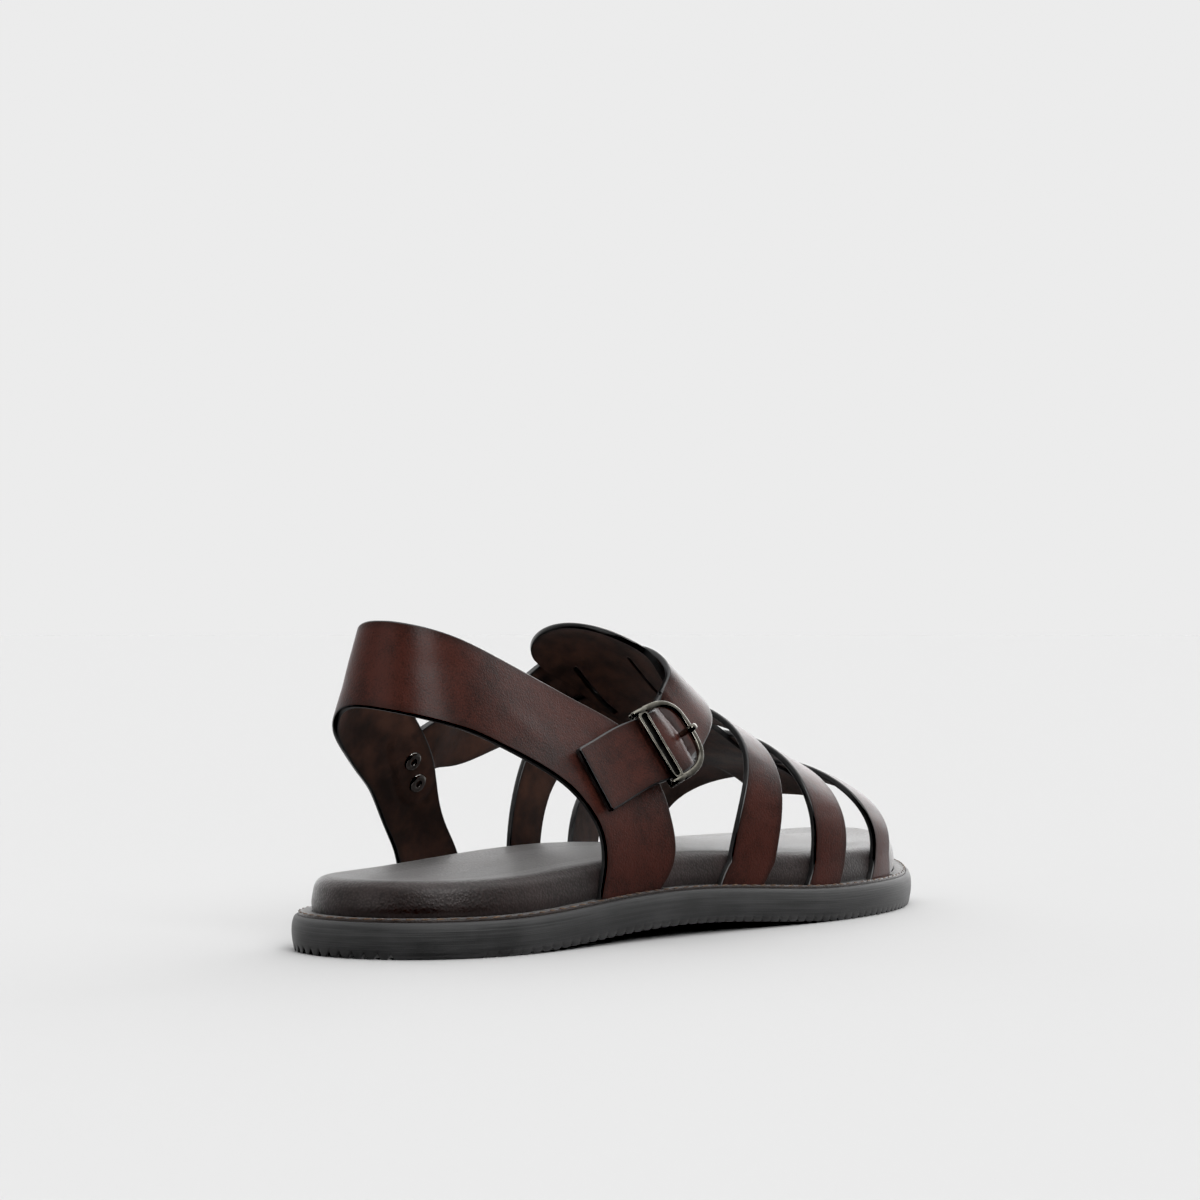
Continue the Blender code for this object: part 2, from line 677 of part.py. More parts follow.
def make_slot(side, material):
    """Cutter for one long slot with round ends."""
    radius = SLOT_WIDTH / 2.0
    low, high = 0.5 * INSTEP_HEIGHT, 1.2 * INSTEP_HEIGHT
    outline = []
    for station, start in ((SLOT_BACK, 90.0), (SLOT_FRONT, -90.0)):
        x = station_x(station)
        y = CREST_SIDE(station) * SOLE_WIDTH + RIM.shift + SLOT_SHIFT + side * SLOT_SPACING / 2.0
        for k in range(5):
            turn = math.radians(start + 180.0 * k / 4.0)
            outline.append((x + radius * math.cos(turn), y + radius * math.sin(turn)))
    size = len(outline)
    vertices = [(x, y, low) for x, y in outline] + [(x, y, high) for x, y in outline]
    faces = [tuple(range(size)), tuple(range(size, 2 * size))]
    faces += [(i, (i + 1) % size, size + (i + 1) % size, size + i) for i in range(size)]
    return finish("slot", vertices, faces, material)


def make_upper(material):
    """Cross straps and tongue, one piece where they cross."""
    straps = [make_cross_strap("strap_%d" % k, rear, front, material)
              for k, (rear, front) in enumerate(CROSS_STRAPS)]
    upper = combine(make_tongue(material), straps, "UNION")
    upper.name = "upper"
    return upper


def ribbon_curves():
    """Rim length and height along both edges of the heel piece."""
    low_run, low_z, top_run, top_z = [], [], [], []
    back = [Ribbon(0, None, BACK_LOW, None, BACK_TOP)]
    for row in OUTER_RIBBON + back + INNER_RIBBON:
        for station, share, runs, heights in ((row.low_station, row.low_height, low_run, low_z),
                                              (row.top_station, row.top_height, top_run, top_z)):
            if row.side == 0:
                runs.append(0.0)
                heights.append(share * HEEL_STRAP_TOP)
                continue
            x = station_x(station)
            height = leg_foot(x) if share is None else share * HEEL_STRAP_TOP
            runs.append(heel_run(x, height, row.side))
            heights.append(float(height))
    places = np.arange(len(low_run))
    return [Curve(places, values) for values in (low_run, low_z, top_run, top_z)]


def make_heel_strap(material):
    """Outer quarter, heel strap and inner quarter in one ribbon."""
    low_run, low_z, top_run, top_z = ribbon_curves()
    last = len(OUTER_RIBBON) + len(INNER_RIBBON)

    def skin(t, share, lift):
        run = low_run(t) * (1.0 - share) + top_run(t) * share
        height = low_z(t) * (1.0 - share) + top_z(t) * share
        point = heel_skin(float(run), float(height), lift)
        if t in (0.0, float(last)):
            point[2] = leg_foot(point[0])
        return point

    samples = [0.0] + [0.5 + k * (last - 1.0) / 42.0 for k in range(43)] + [float(last)]
    return band("heel_strap", skin, samples, (0.0, 0.25, 0.5, 0.75, 1.0), STRAP_LEATHER, material)


class Frame:
    """A place with three unit axes: along, down and out."""

    def __init__(self, origin, along, out):
        self.origin = np.array(origin, float)
        self.out = np.array(out, float) / np.linalg.norm(out)
        along = np.array(along, float) - np.dot(along, self.out) * self.out
        self.along = along / np.linalg.norm(along)
        self.down = np.cross(self.along, self.out)
        if self.down[2] > 0.0:
            self.down = -self.down

    def at(self, along, down, out):
        """A point given in this frame."""
        return self.origin + self.along * along + self.down * down + self.out * out


def buckle_frame_axes():
    """Frame of the buckle on the outer quarter's outer face, along the strap to the toe."""
    x, z = station_x(BUCKLE_STATION), BUCKLE_HEIGHT * HEEL_STRAP_TOP
    run = heel_run(x, z, -1)
    return Frame(heel_skin(run, z, STRAP_LEATHER), BUCKLE_ALONG, heel_normal(run, z))


def rivet_frame(rivet):
    """Frame of one rivet: its axis stands out from the inner quarter's inner face."""
    height = rivet.height * HEEL_STRAP_TOP
    run = heel_run(station_x(rivet.station), height, 1)
    return Frame(heel_skin(run, height, 0.0), (1.0, 0.0, 0.0), heel_normal(run, height))


Rivet = namedtuple("Rivet", "name station height")
RIVETS = [Rivet("rivet_upper", 0.2204, 0.555), Rivet("rivet_lower", 0.2390, 0.4825)]


def instep_rows(buckle):
    """Centre and normal of the instep strap's inner face, from the inner end to the square end."""
    rows = []
    for row in STRAP_ON_INNER:
        height = row.height * HEEL_STRAP_TOP
        run = heel_run(station_x(row.station), height, 1)
        rows.append((heel_skin(run, height, STRAP_LEATHER + row.lift * GAP), heel_normal(run, height)))
    for row in STRAP_FREE:
        y = row.side * SOLE_WIDTH + RIM.shift
        point = np.array([station_x(row.station), y, row.height * INSTEP_HEIGHT])
        rows.append((point, np.array([row.forward, row.sideways, row.upward])))
    for row in STRAP_ON_TONGUE:
        x = station_x(row.station)
        point = tongue_skin(x, row.across, TONGUE_LAP + row.lift * GAP)
        rows.insert(-1, (point, tongue_skin(x, row.across, 1.0) - tongue_skin(x, row.across, 0.0)))
    for row in STRAP_IN_BUCKLE:
        point = buckle.at(row.along * BUCKLE_DEPTH, row.down * INSTEP_STRAP_WIDTH, row.rise * STRAP_RISE)
        rows.append((point, buckle.out))
    for row in STRAP_ON_OUTER:
        x = buckle.origin[0] - row.back * SOLE_LENGTH
        z = buckle.origin[2] - row.below * HEEL_STRAP_TOP
        run = heel_run(x, z, -1)
        rows.append((heel_skin(run, z, STRAP_LEATHER + row.lift * GAP), heel_normal(run, z)))
    return rows


def make_instep_strap(buckle, material):
    """Strap from the rivets over the tongue and through the buckle, round at one end."""
    rows = instep_rows(buckle)
    points = np.array([row[0] for row in rows])
    normals = np.array([row[1] / np.linalg.norm(row[1]) for row in rows])
    run = np.concatenate([[0.0], np.cumsum(np.linalg.norm(np.diff(points, axis=0), axis=1))])
    centre = [Curve(run, points[:, k]) for k in range(3)]
    facing = [Curve(run, normals[:, k]) for k in range(3)]
    narrow = run[len(rows) // 3]

    def skin(s, share, lift):
        point = np.array([c(s) for c in centre])
        along = np.array([c(min(s + 0.0005, run[-1])) - c(max(s - 0.0005, 0.0)) for c in centre])
        along /= np.linalg.norm(along)
        out = np.array([f(s) for f in facing])
        out -= along * np.dot(out, along)
        out /= np.linalg.norm(out)
        full = min(s / narrow, 1.0)
        full = full * full * (3.0 - 2.0 * full)
        half = wide = (RIVETED_WIDTH + (INSTEP_STRAP_WIDTH - RIVETED_WIDTH) * full) / 2.0
        if s < ROUND_END:
            wide = half * math.sqrt(max(1.0 - (1.0 - s / ROUND_END) ** 2, 0.0)) * 0.86 + half * 0.14
        return point + np.cross(along, out) * (share * 2.0 - 1.0) * wide + out * lift

    samples = [ROUND_END * share for share in (0.0, 0.06, 0.19, 0.42, 0.74, 1.0)]
    samples += list(np.linspace(ROUND_END, run[-1], 46)[1:])
    strap = band("instep_strap", skin, samples, (0.0, 0.5, 1.0), STRAP_LEATHER, material)
    return strap


def rod(name, points, radius, material, sides=8):
    """A round wire along points."""
    points = [np.array(p, float) for p in points]
    count = len(points)
    vertices, previous = [], None
    for i in range(count):
        along = points[min(i + 1, count - 1)] - points[max(i - 1, 0)]
        along /= np.linalg.norm(along)
        guide = np.array([0.0, -0.86, 0.50]) if previous is None else previous
        side = guide - along * np.dot(guide, along)
        side /= np.linalg.norm(side)
        previous = side
        other = np.cross(along, side)
        for k in range(sides):
            turn = 2.0 * math.pi * (k + 0.5) / sides
            vertices.append(points[i] + (side * math.cos(turn) + other * math.sin(turn)) * radius)
    faces = []
    for i in range(count - 1):
        a, b = i * sides, (i + 1) * sides
        faces += [(a + k, a + (k + 1) % sides, b + (k + 1) % sides, b + k) for k in range(sides)]
    faces += [tuple(range(sides)), tuple(range((count - 1) * sides, count * sides))]
    return finish(name, vertices, faces, material)


def d_outline(buckle):
    """Centre line of the D: up one side of the strap, round the front and back down the other."""
    points = []
    for k in range(15):
        turn = math.pi * k / 14.0
        along = BUCKLE_DEPTH * math.sin(turn) ** 0.75
        down = -BUCKLE_HALF * math.copysign(abs(math.cos(turn)) ** 0.62, math.cos(turn))
        rise = BAR_RISE + BUCKLE_TILT * along / BUCKLE_DEPTH
        points.append(buckle.at(along, down, rise))
    return points


def make_buckle_frame(buckle, material):
    """D wire, the two bars over the strap, their side pieces and the bar under the strap."""
    pieces = [rod("d_wire", d_outline(buckle), WIRE_RADIUS, material)]
    for along, radius in ((-1.8 * WIRE_RADIUS - BAR_RADIUS, BAR_RADIUS), (0.0, 0.9 * WIRE_RADIUS)):
        ends = [buckle.at(along, side * BUCKLE_HALF, BAR_RISE) for side in (-1, 1)]
        pieces.append(rod("bar", ends, radius, material))
    for side in (-1, 1):
        ear = [buckle.at(-4.7 * WIRE_RADIUS, side * BUCKLE_HALF, BAR_RISE - 0.36 * WIRE_RADIUS),
               buckle.at(1.1 * WIRE_RADIUS, side * BUCKLE_HALF, BAR_RISE)]
        pieces.append(rod("ear", ear, WIRE_RADIUS, material))
        edge = side * (BUCKLE_HALF + 0.2 * WIRE_RADIUS)
        leg = [buckle.at(0.0, edge, BAR_RISE), buckle.at(0.0, edge, AXLE_RISE)]
        pieces.append(rod("leg", leg, WIRE_RADIUS * 0.85, material))
    reach = BUCKLE_HALF + 0.4 * WIRE_RADIUS
    pieces.append(rod("axle", [buckle.at(0.0, side * reach, AXLE_RISE) for side in (-1, 1)],
                      BAR_RADIUS, material))
    frame = combine(pieces[0], pieces[1:], "UNION")
    frame.name = "buckle_frame"
    return frame


def make_prong(buckle, material):
    """Pin round the lower bar, under the strap and up to the front of the D."""
    tip = BUCKLE_DEPTH
    over = BAR_RISE + BUCKLE_TILT + WIRE_RADIUS + PRONG_RADIUS
    hinge = BAR_RADIUS + PRONG_RADIUS + 1.7 * GAP
    points = [(hinge, AXLE_RISE), (0.55 * HOLE_PLACE, AXLE_RISE + 0.25 * PRONG_RADIUS),
              (HOLE_PLACE - 0.5 * HOLE_RADIUS, 0.56 * STRAP_RISE),
              (HOLE_PLACE - 0.17 * HOLE_RADIUS, STRAP_RISE),
              (HOLE_PLACE + 0.28 * HOLE_RADIUS, STRAP_RISE + 1.2 * STRAP_LEATHER),
              (tip - 2.7 * PRONG_RADIUS, over - GAP), (tip, over + GAP), (tip + 2.2 * PRONG_RADIUS, over - GAP)]
    points = [buckle.at(along, 0.0, out) for along, out in points]
    return rod("buckle_prong", points, PRONG_RADIUS, material)


def make_rivet(name, frame, material):
    """Ring rivet with a flange on each face."""
    through = 2.0 * STRAP_LEATHER + GAP
    profile = [
        (RIVET_BORE, -GAP - RIVET_FLANGE), (RIVET_RADIUS * 0.80, -GAP - RIVET_FLANGE),
        (RIVET_RADIUS, -GAP - RIVET_FLANGE * 0.4), (RIVET_RADIUS, -GAP), (RIVET_BARREL, -GAP),
        (RIVET_BARREL, through + GAP), (RIVET_RADIUS, through + GAP),
        (RIVET_RADIUS * 0.80, through + GAP + RIVET_FLANGE), (RIVET_BORE, through + GAP + RIVET_FLANGE)]
    return turned(name, frame, profile, 16, material)


def turned(name, frame, profile, sides, material):
    """A turned piece about the frame's outward axis; profile rows are radius and height."""
    vertices = []
    for radius, height in profile:
        for k in range(sides):
            turn = 2.0 * math.pi * k / sides
            vertices.append(frame.at(radius * math.cos(turn), radius * math.sin(turn), height))
    rows = len(profile)
    faces = []
    for i in range(rows):
        a, b = i * sides, (i + 1) % rows * sides
        faces += [(a + k, a + (k + 1) % sides, b + (k + 1) % sides, b + k) for k in range(sides)]
    return finish(name, vertices, faces, material)


def drill(thing, frame, radius, low, high, material):
    """Cut a round hole along the frame's outward axis, between two heights."""
    vertices = [frame.at(radius * math.cos(t), radius * math.sin(t), h)
                for h in (low, high) for t in np.linspace(0.0, 2.0 * math.pi, 17)[:-1]]
    faces = [tuple(range(16)), tuple(range(16, 32))]
    faces += [(i, (i + 1) % 16, 16 + (i + 1) % 16, 16 + i) for i in range(16)]
    return combine(thing, [finish("drill", vertices, faces, material)], "DIFFERENCE")


def make_material(name, colour, roughness, metallic=0.0):
    """A plain surface colour for one kind of material."""
    material = bpy.data.materials.new(name)
    material.use_nodes = True
    shader = material.node_tree.nodes["Principled BSDF"]
    shader.inputs["Base Color"].default_value = (*colour, 1.0)
    shader.inputs["Roughness"].default_value = roughness
    shader.inputs["Metallic"].default_value = metallic
    return material


def main():
    """Build the sandal."""
    for old in list(bpy.data.objects):
        bpy.data.objects.remove(old)
    rubber = make_material("rubber", (0.040, 0.040, 0.041), 0.55)
    leather = make_material("strap_leather", (0.040, 0.014, 0.010), 0.35)
    cover = make_material("footbed_leather", (0.030, 0.020, 0.018), 0.50)
    metal = make_material("gunmetal", (0.18, 0.17, 0.16), 0.25, 1.0)
    make_outsole(rubber)
    make_footbed(cover)
    make_welt(cover)
    make_upper(leather)
    buckle = buckle_frame_axes()
    heel_strap = make_heel_strap(leather)
    instep_strap = make_instep_strap(buckle, leather)
    hole = RIVET_BARREL + GAP
    for rivet in RIVETS:
        frame = rivet_frame(rivet)
        make_rivet(rivet.name, frame, metal)
        for thing in (heel_strap, instep_strap):
            drill(thing, frame, hole, -2.0 * STRAP_LEATHER, 4.5 * STRAP_LEATHER, metal)
    place_of_hole = Frame(buckle.at(HOLE_PLACE, 0.0, 0.0), buckle.along, buckle.out)
    drill(instep_strap, place_of_hole, HOLE_RADIUS, 0.1 * STRAP_RISE, STRAP_RISE + 2.0 * STRAP_LEATHER,
          leather)
    make_buckle_frame(buckle, metal)
    make_prong(buckle, metal)


main()
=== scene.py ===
"""Right-foot strap sandal, dressed: burnished straps, wrapped footbed, stitched welt, rubber sole.

Every piece is built round one last, in metres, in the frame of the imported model: +X to the toe, +Y
to the inner side of the foot, +Z up, the ground at zero.
"""

import logging
import math
from dataclasses import dataclass, field
from enum import Enum
from typing import Callable, NamedTuple, Optional, Sequence

import bmesh
import bpy
import numpy as np
from mathutils import Matrix, Vector


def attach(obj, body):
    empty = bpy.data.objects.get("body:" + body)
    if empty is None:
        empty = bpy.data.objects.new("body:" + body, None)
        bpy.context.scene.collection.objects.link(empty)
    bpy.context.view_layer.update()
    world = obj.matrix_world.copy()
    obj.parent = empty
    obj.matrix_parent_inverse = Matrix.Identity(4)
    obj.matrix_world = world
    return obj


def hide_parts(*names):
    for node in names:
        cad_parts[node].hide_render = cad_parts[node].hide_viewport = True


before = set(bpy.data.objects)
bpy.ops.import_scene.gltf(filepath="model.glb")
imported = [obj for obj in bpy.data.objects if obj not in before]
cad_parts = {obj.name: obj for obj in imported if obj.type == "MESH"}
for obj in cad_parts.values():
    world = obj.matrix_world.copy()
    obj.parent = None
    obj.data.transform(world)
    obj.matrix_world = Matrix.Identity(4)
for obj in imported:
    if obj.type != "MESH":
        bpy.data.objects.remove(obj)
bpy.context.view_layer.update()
LOG = logging.getLogger("sandal")

Skin = Callable[[float, float], np.ndarray]
Colour = tuple[float, float, float]


class Outline(NamedTuple):
    """Sole outline: middle line's offset and fullness of the half width, as shares of the width."""

    station: float
    middle: float
    fullness: float


class Wall(NamedTuple):
    """Side profile: height as a share of the height, inset as a share of it too."""

    height: float
    inset: float


class Hollow(NamedTuple):
    """A hollow in the footbed's top: its x, its length and its depth."""

    x: float
    length: float
    depth: float


class Crest(NamedTuple):
    """Crest line of the last: height and side offset as shares, and how square each half is."""

    station: float
    height: float
    side: float
    outer: float
    inner: float


class Edge(NamedTuple):
    """One edge of a cross strap: stations from the outer base over the crest to the inner base."""

    outer_base: float
    outer_leg: float
    outer_side: float
    crest: float
    inner_side: float
    inner_leg: float
    inner_base: float


class Ribbon(NamedTuple):
    """Lower and upper edge of the heel piece; no height means the foot of a leg."""

    side: int
    low_station: Optional[float]
    low_height: Optional[float]
    top_station: Optional[float]
    top_height: Optional[float]


class Lean(NamedTuple):
    """Lean of the heel and the sides: inward insets as shares of the heel strap's height."""

    height: float
    back: float
    side: float


class Tongue(NamedTuple):
    """Half widths and arc radii of the tongue, as shares of its width."""

    station: float
    outer: float
    inner: float
    outer_arc: float
    inner_arc: float


class Crease(NamedTuple):
    """A soft trough (or ridge, if its depth is negative) in a sheet, in millimetres and degrees.

    along is measured on the middle line from the sheet's first end, across from the middle line.
    """

    along: float
    across: float
    length: float
    width: float
    depth: float
    turn: float


OUTLINE = [
    Outline(0.00, 0.020, 0.704), Outline(0.12, -0.017, 0.562), Outline(0.25, -0.033, 0.446),
    Outline(0.40, -0.058, 0.388), Outline(0.52, -0.058, 0.418), Outline(0.64, -0.029, 0.501),
    Outline(0.76, -0.003, 0.574), Outline(0.88, 0.018, 0.621), Outline(1.00, 0.051, 0.656),
]
CREST = [
    Crest(0.38, 1.000, 0.010, 2.4, 2.6), Crest(0.43, 0.978, 0.012, 2.4, 2.6),
    Crest(0.48, 0.890, 0.018, 2.4, 2.6), Crest(0.53, 0.785, 0.025, 2.4, 2.5),
    Crest(0.58, 0.705, 0.035, 2.4, 2.4), Crest(0.64, 0.628, 0.045, 2.4, 2.4),
    Crest(0.70, 0.554, 0.055, 2.4, 2.4), Crest(0.78, 0.487, 0.060, 2.4, 2.4),
    Crest(0.85, 0.378, 0.060, 2.5, 2.5), Crest(0.92, 0.250, 0.060, 2.5, 2.5),
]
CROSS_STRAPS = [
    (Edge(0.477, 0.496, 0.541, 0.547, 0.468, 0.398, 0.394),
     Edge(0.548, 0.570, 0.594, 0.608, 0.552, 0.456, 0.451)),
    (Edge(0.623, 0.636, 0.634, 0.645, 0.605, 0.528, 0.525),
     Edge(0.686, 0.699, 0.698, 0.704, 0.676, 0.604, 0.598)),
    (Edge(0.757, 0.770, 0.752, 0.748, 0.723, 0.676, 0.668),
     Edge(0.824, 0.820, 0.806, 0.806, 0.788, 0.750, 0.742)),
]
EDGE_PLACES = (0.0, 0.12, 0.27, 0.50, 0.73, 0.88, 1.0)
OUTER_RIBBON = [
    Ribbon(-1, 0.282, None, 0.380, None), Ribbon(-1, 0.286, 0.240, 0.402, 0.240),
    Ribbon(-1, 0.282, 0.340, 0.400, 0.365), Ribbon(-1, 0.272, 0.400, 0.397, 0.440),
    Ribbon(-1, 0.256, 0.460, 0.390, 0.540), Ribbon(-1, 0.231, 0.517, 0.372, 0.645),
    Ribbon(-1, 0.193, 0.575, 0.310, 0.740), Ribbon(-1, 0.149, 0.633, 0.222, 0.849),
    Ribbon(-1, 0.098, 0.690, 0.128, 0.955),
]
BACK_RIBBON = [Ribbon(0, None, 0.738, None, 1.0)]
INNER_RIBBON = [
    Ribbon(1, 0.070, 0.680, 0.112, 0.925), Ribbon(1, 0.106, 0.595, 0.170, 0.790),
    Ribbon(1, 0.143, 0.519, 0.216, 0.665), Ribbon(1, 0.169, 0.465, 0.252, 0.560),
    Ribbon(1, 0.191, 0.398, 0.276, 0.450), Ribbon(1, 0.213, 0.315, 0.297, 0.345),
    Ribbon(1, 0.226, 0.235, 0.317, 0.240), Ribbon(1, 0.226, None, 0.314, None),
]
LEAN = [
    Lean(0.10, 0.000, 0.000), Lean(0.165, 0.000, 0.002), Lean(0.24, -0.005, -0.008),
    Lean(0.40, 0.012, 0.005), Lean(0.53, 0.040, 0.055), Lean(0.63, 0.065, 0.105),
    Lean(0.74, 0.095, 0.155), Lean(0.87, 0.130, 0.210), Lean(1.00, 0.165, 0.270),
]
TONGUE = [
    Tongue(0.38, 0.50, 0.50, 1.05, 1.00), Tongue(0.42, 0.50, 0.50, 0.98, 0.76),
    Tongue(0.45, 0.48, 0.48, 0.92, 0.54), Tongue(0.48, 0.43, 0.42, 0.86, 0.50),
    Tongue(0.52, 0.37, 0.37, 0.80, 0.50), Tongue(0.60, 0.33, 0.33, 0.80, 0.50),
    Tongue(0.70, 0.30, 0.30, 0.80, 0.50), Tongue(0.85, 0.28, 0.28, 0.80, 0.50),
]


class Curve:
    """Smooth curve through a few given rows (a natural cubic spline)."""

    def __init__(self, places: Sequence[float], values: Sequence[float]) -> None:
        """Fit the spline.

        Args:
            places: increasing places of the rows.
            values: the value at each place.
        """
        self.x = np.array(places, float)
        self.y = np.array(values, float)
        n = len(self.x)
        self.step = np.diff(self.x)
        matrix = np.eye(n)
        right = np.zeros(n)
        for i in range(1, n - 1):
            before, after = self.step[i - 1], self.step[i]
            matrix[i, i - 1:i + 2] = before, 2.0 * (before + after), after
            slopes = (self.y[i + 1] - self.y[i]) / after, (self.y[i] - self.y[i - 1]) / before
            right[i] = 6.0 * (slopes[0] - slopes[1])
        self.bend = np.linalg.solve(matrix, right)

    def __call__(self, place):
        """Value at a place, or at each of an array of places.

        Args:
            place: where to read the curve; held at its ends.

        Returns:
            The value or values there.
        """
        place = np.clip(place, self.x[0], self.x[-1])
        i = np.clip(np.searchsorted(self.x, place) - 1, 0, len(self.step) - 1)
        h = self.step[i]
        a = (self.x[i + 1] - place) / h
        b = 1.0 - a
        cubic = ((a ** 3 - a) * self.bend[i] + (b ** 3 - b) * self.bend[i + 1]) * h * h / 6.0
        return a * self.y[i] + b * self.y[i + 1] + cubic


def curve_of(table: Sequence[NamedTuple], name: str, place: str = "station") -> Curve:
    """A curve of one named column of a table against another.

    Args:
        table: rows with named columns.
        name: the column of values.
        place: the column of places.

    Returns:
        The curve through the rows.
    """
    return Curve([getattr(row, place) for row in table], [getattr(row, name) for row in table])


def smooth_step(value, low: float, high: float):
    """Zero below low, one above high and smooth between them."""
    share = np.clip((value - low) / (high - low), 0.0, 1.0)
    return share * share * (3.0 - 2.0 * share)


def lengths(path: np.ndarray) -> np.ndarray:
    """Length along a path at each of its points."""
    return np.concatenate([[0.0], np.cumsum(np.linalg.norm(np.diff(path, axis=0), axis=1))])


@dataclass
class SoleShape:
    """Outline and heights of the sole, shared by every piece that stands on it."""

    length: float = 0.2920
    width: float = 0.1055
    rubber: float = 0.0112
    ledge_drop: float = 0.0008
    arch_rise: float = 0.0038
    toe_spring: float = 0.0030
    footbed_top: float = 0.0232
    footbed_inset: float = 0.0065
    heel_flat: float = 0.12
    ball_flat: float = 0.70
    toe_lift: float = 0.82
    gap: float = 0.0003
    samples: int = 1441

    def __post_init__(self) -> None:
        """Lay out the outline by its length from the middle of the heel."""
        middle, fullness = curve_of(OUTLINE, "middle"), curve_of(OUTLINE, "fullness")
        turn = np.linspace(-math.pi, math.pi, self.samples)
        station = (1.0 - np.cos(turn)) / 2.0
        y = (middle(station) + np.sin(turn) * fullness(station)) * self.width
        self.shift = -(y.max() + y.min()) / 2.0
        self.points = np.column_stack([self.station_x(station), y + self.shift])
        run = lengths(self.points)
        self.run = run - run[self.samples // 2]
        tangent = np.gradient(self.points, self.run, axis=0)
        tangent[0] = tangent[-1] = (tangent[0] + tangent[-1]) / 2.0
        tangent /= np.linalg.norm(tangent, axis=1)[:, None]
        self.normal = np.column_stack([-tangent[:, 1], tangent[:, 0]])

    @property
    def leg_inset(self) -> float:
        """Inset of the inner face of every leg that stands beside the footbed."""
        return self.footbed_inset - self.gap

    def station_x(self, station):
        """The x of a station along the sole."""
        return (station - 0.5) * self.length

    def x_station(self, x):
        """The station of an x."""
        return x / self.length + 0.5

    def at(self, run, inset=0.0) -> np.ndarray:
        """Points of the outline moved in by an inset.

        Args:
            run: length or lengths along the outline.
            inset: how far in.

        Returns:
            The x and y, in the last axis for an array of lengths.
        """
        place = [np.interp(run, self.run, self.points[:, k]) for k in range(2)]
        out = [np.interp(run, self.run, self.normal[:, k]) for k in range(2)]
        return np.stack([place[k] - out[k] * inset for k in range(2)], axis=-1)

    def normals(self, runs: np.ndarray) -> np.ndarray:
        """Outward directions of the outline at some lengths."""
        return np.column_stack([np.interp(runs, self.run, self.normal[:, k]) for k in range(2)])

    def run_at(self, x: float, inset: float, side: int) -> float:
        """Length along the outline where one side's inset outline reaches x.

        Args:
            x: the place along the sole.
            inset: how far the outline is moved in.
            side: +1 for the inner side, -1 for the outer side.

        Returns:
            The length from the middle of the heel.
        """
        half = self.run >= 0.0 if side > 0 else self.run <= 0.0
        places = (self.points[:, 0] - self.normal[:, 0] * inset)[half]
        runs = self.run[half]
        order = np.argsort(places)
        return float(np.interp(x, places[order], runs[order]))

    def side_y(self, x: float, inset: float, side: int) -> float:
        """The y of one side's inset outline at x."""
        return float(self.at(self.run_at(x, inset, side), inset)[1])

    def rise(self, x):
        """Height of the tread: flat heel, arched waist, flat forefoot, toe spring."""
        station = self.x_station(x)
        arch = np.clip((station - self.heel_flat) / (self.ball_flat - self.heel_flat), 0.0, 1.0)
        toe = np.clip((station - self.toe_lift) / (1.0 - self.toe_lift), 0.0, 1.0)
        return self.arch_rise * np.sin(math.pi * arch) ** 2 + self.toe_spring * toe ** 2

    def ledge(self, x):
        """Height of the ledge that welt, legs and footbed stand on."""
        return self.rise(x) + self.rubber - self.ledge_drop

    def ring_runs(self, count: int) -> np.ndarray:
        """Lengths for a ring of twice count points: heel, inner side, toe, outer side."""
        inner = np.linspace(0.0, self.run[-1], count + 1)
        outer = np.linspace(self.run[0], 0.0, count + 1)
        return np.concatenate([inner, outer[1:-1]])


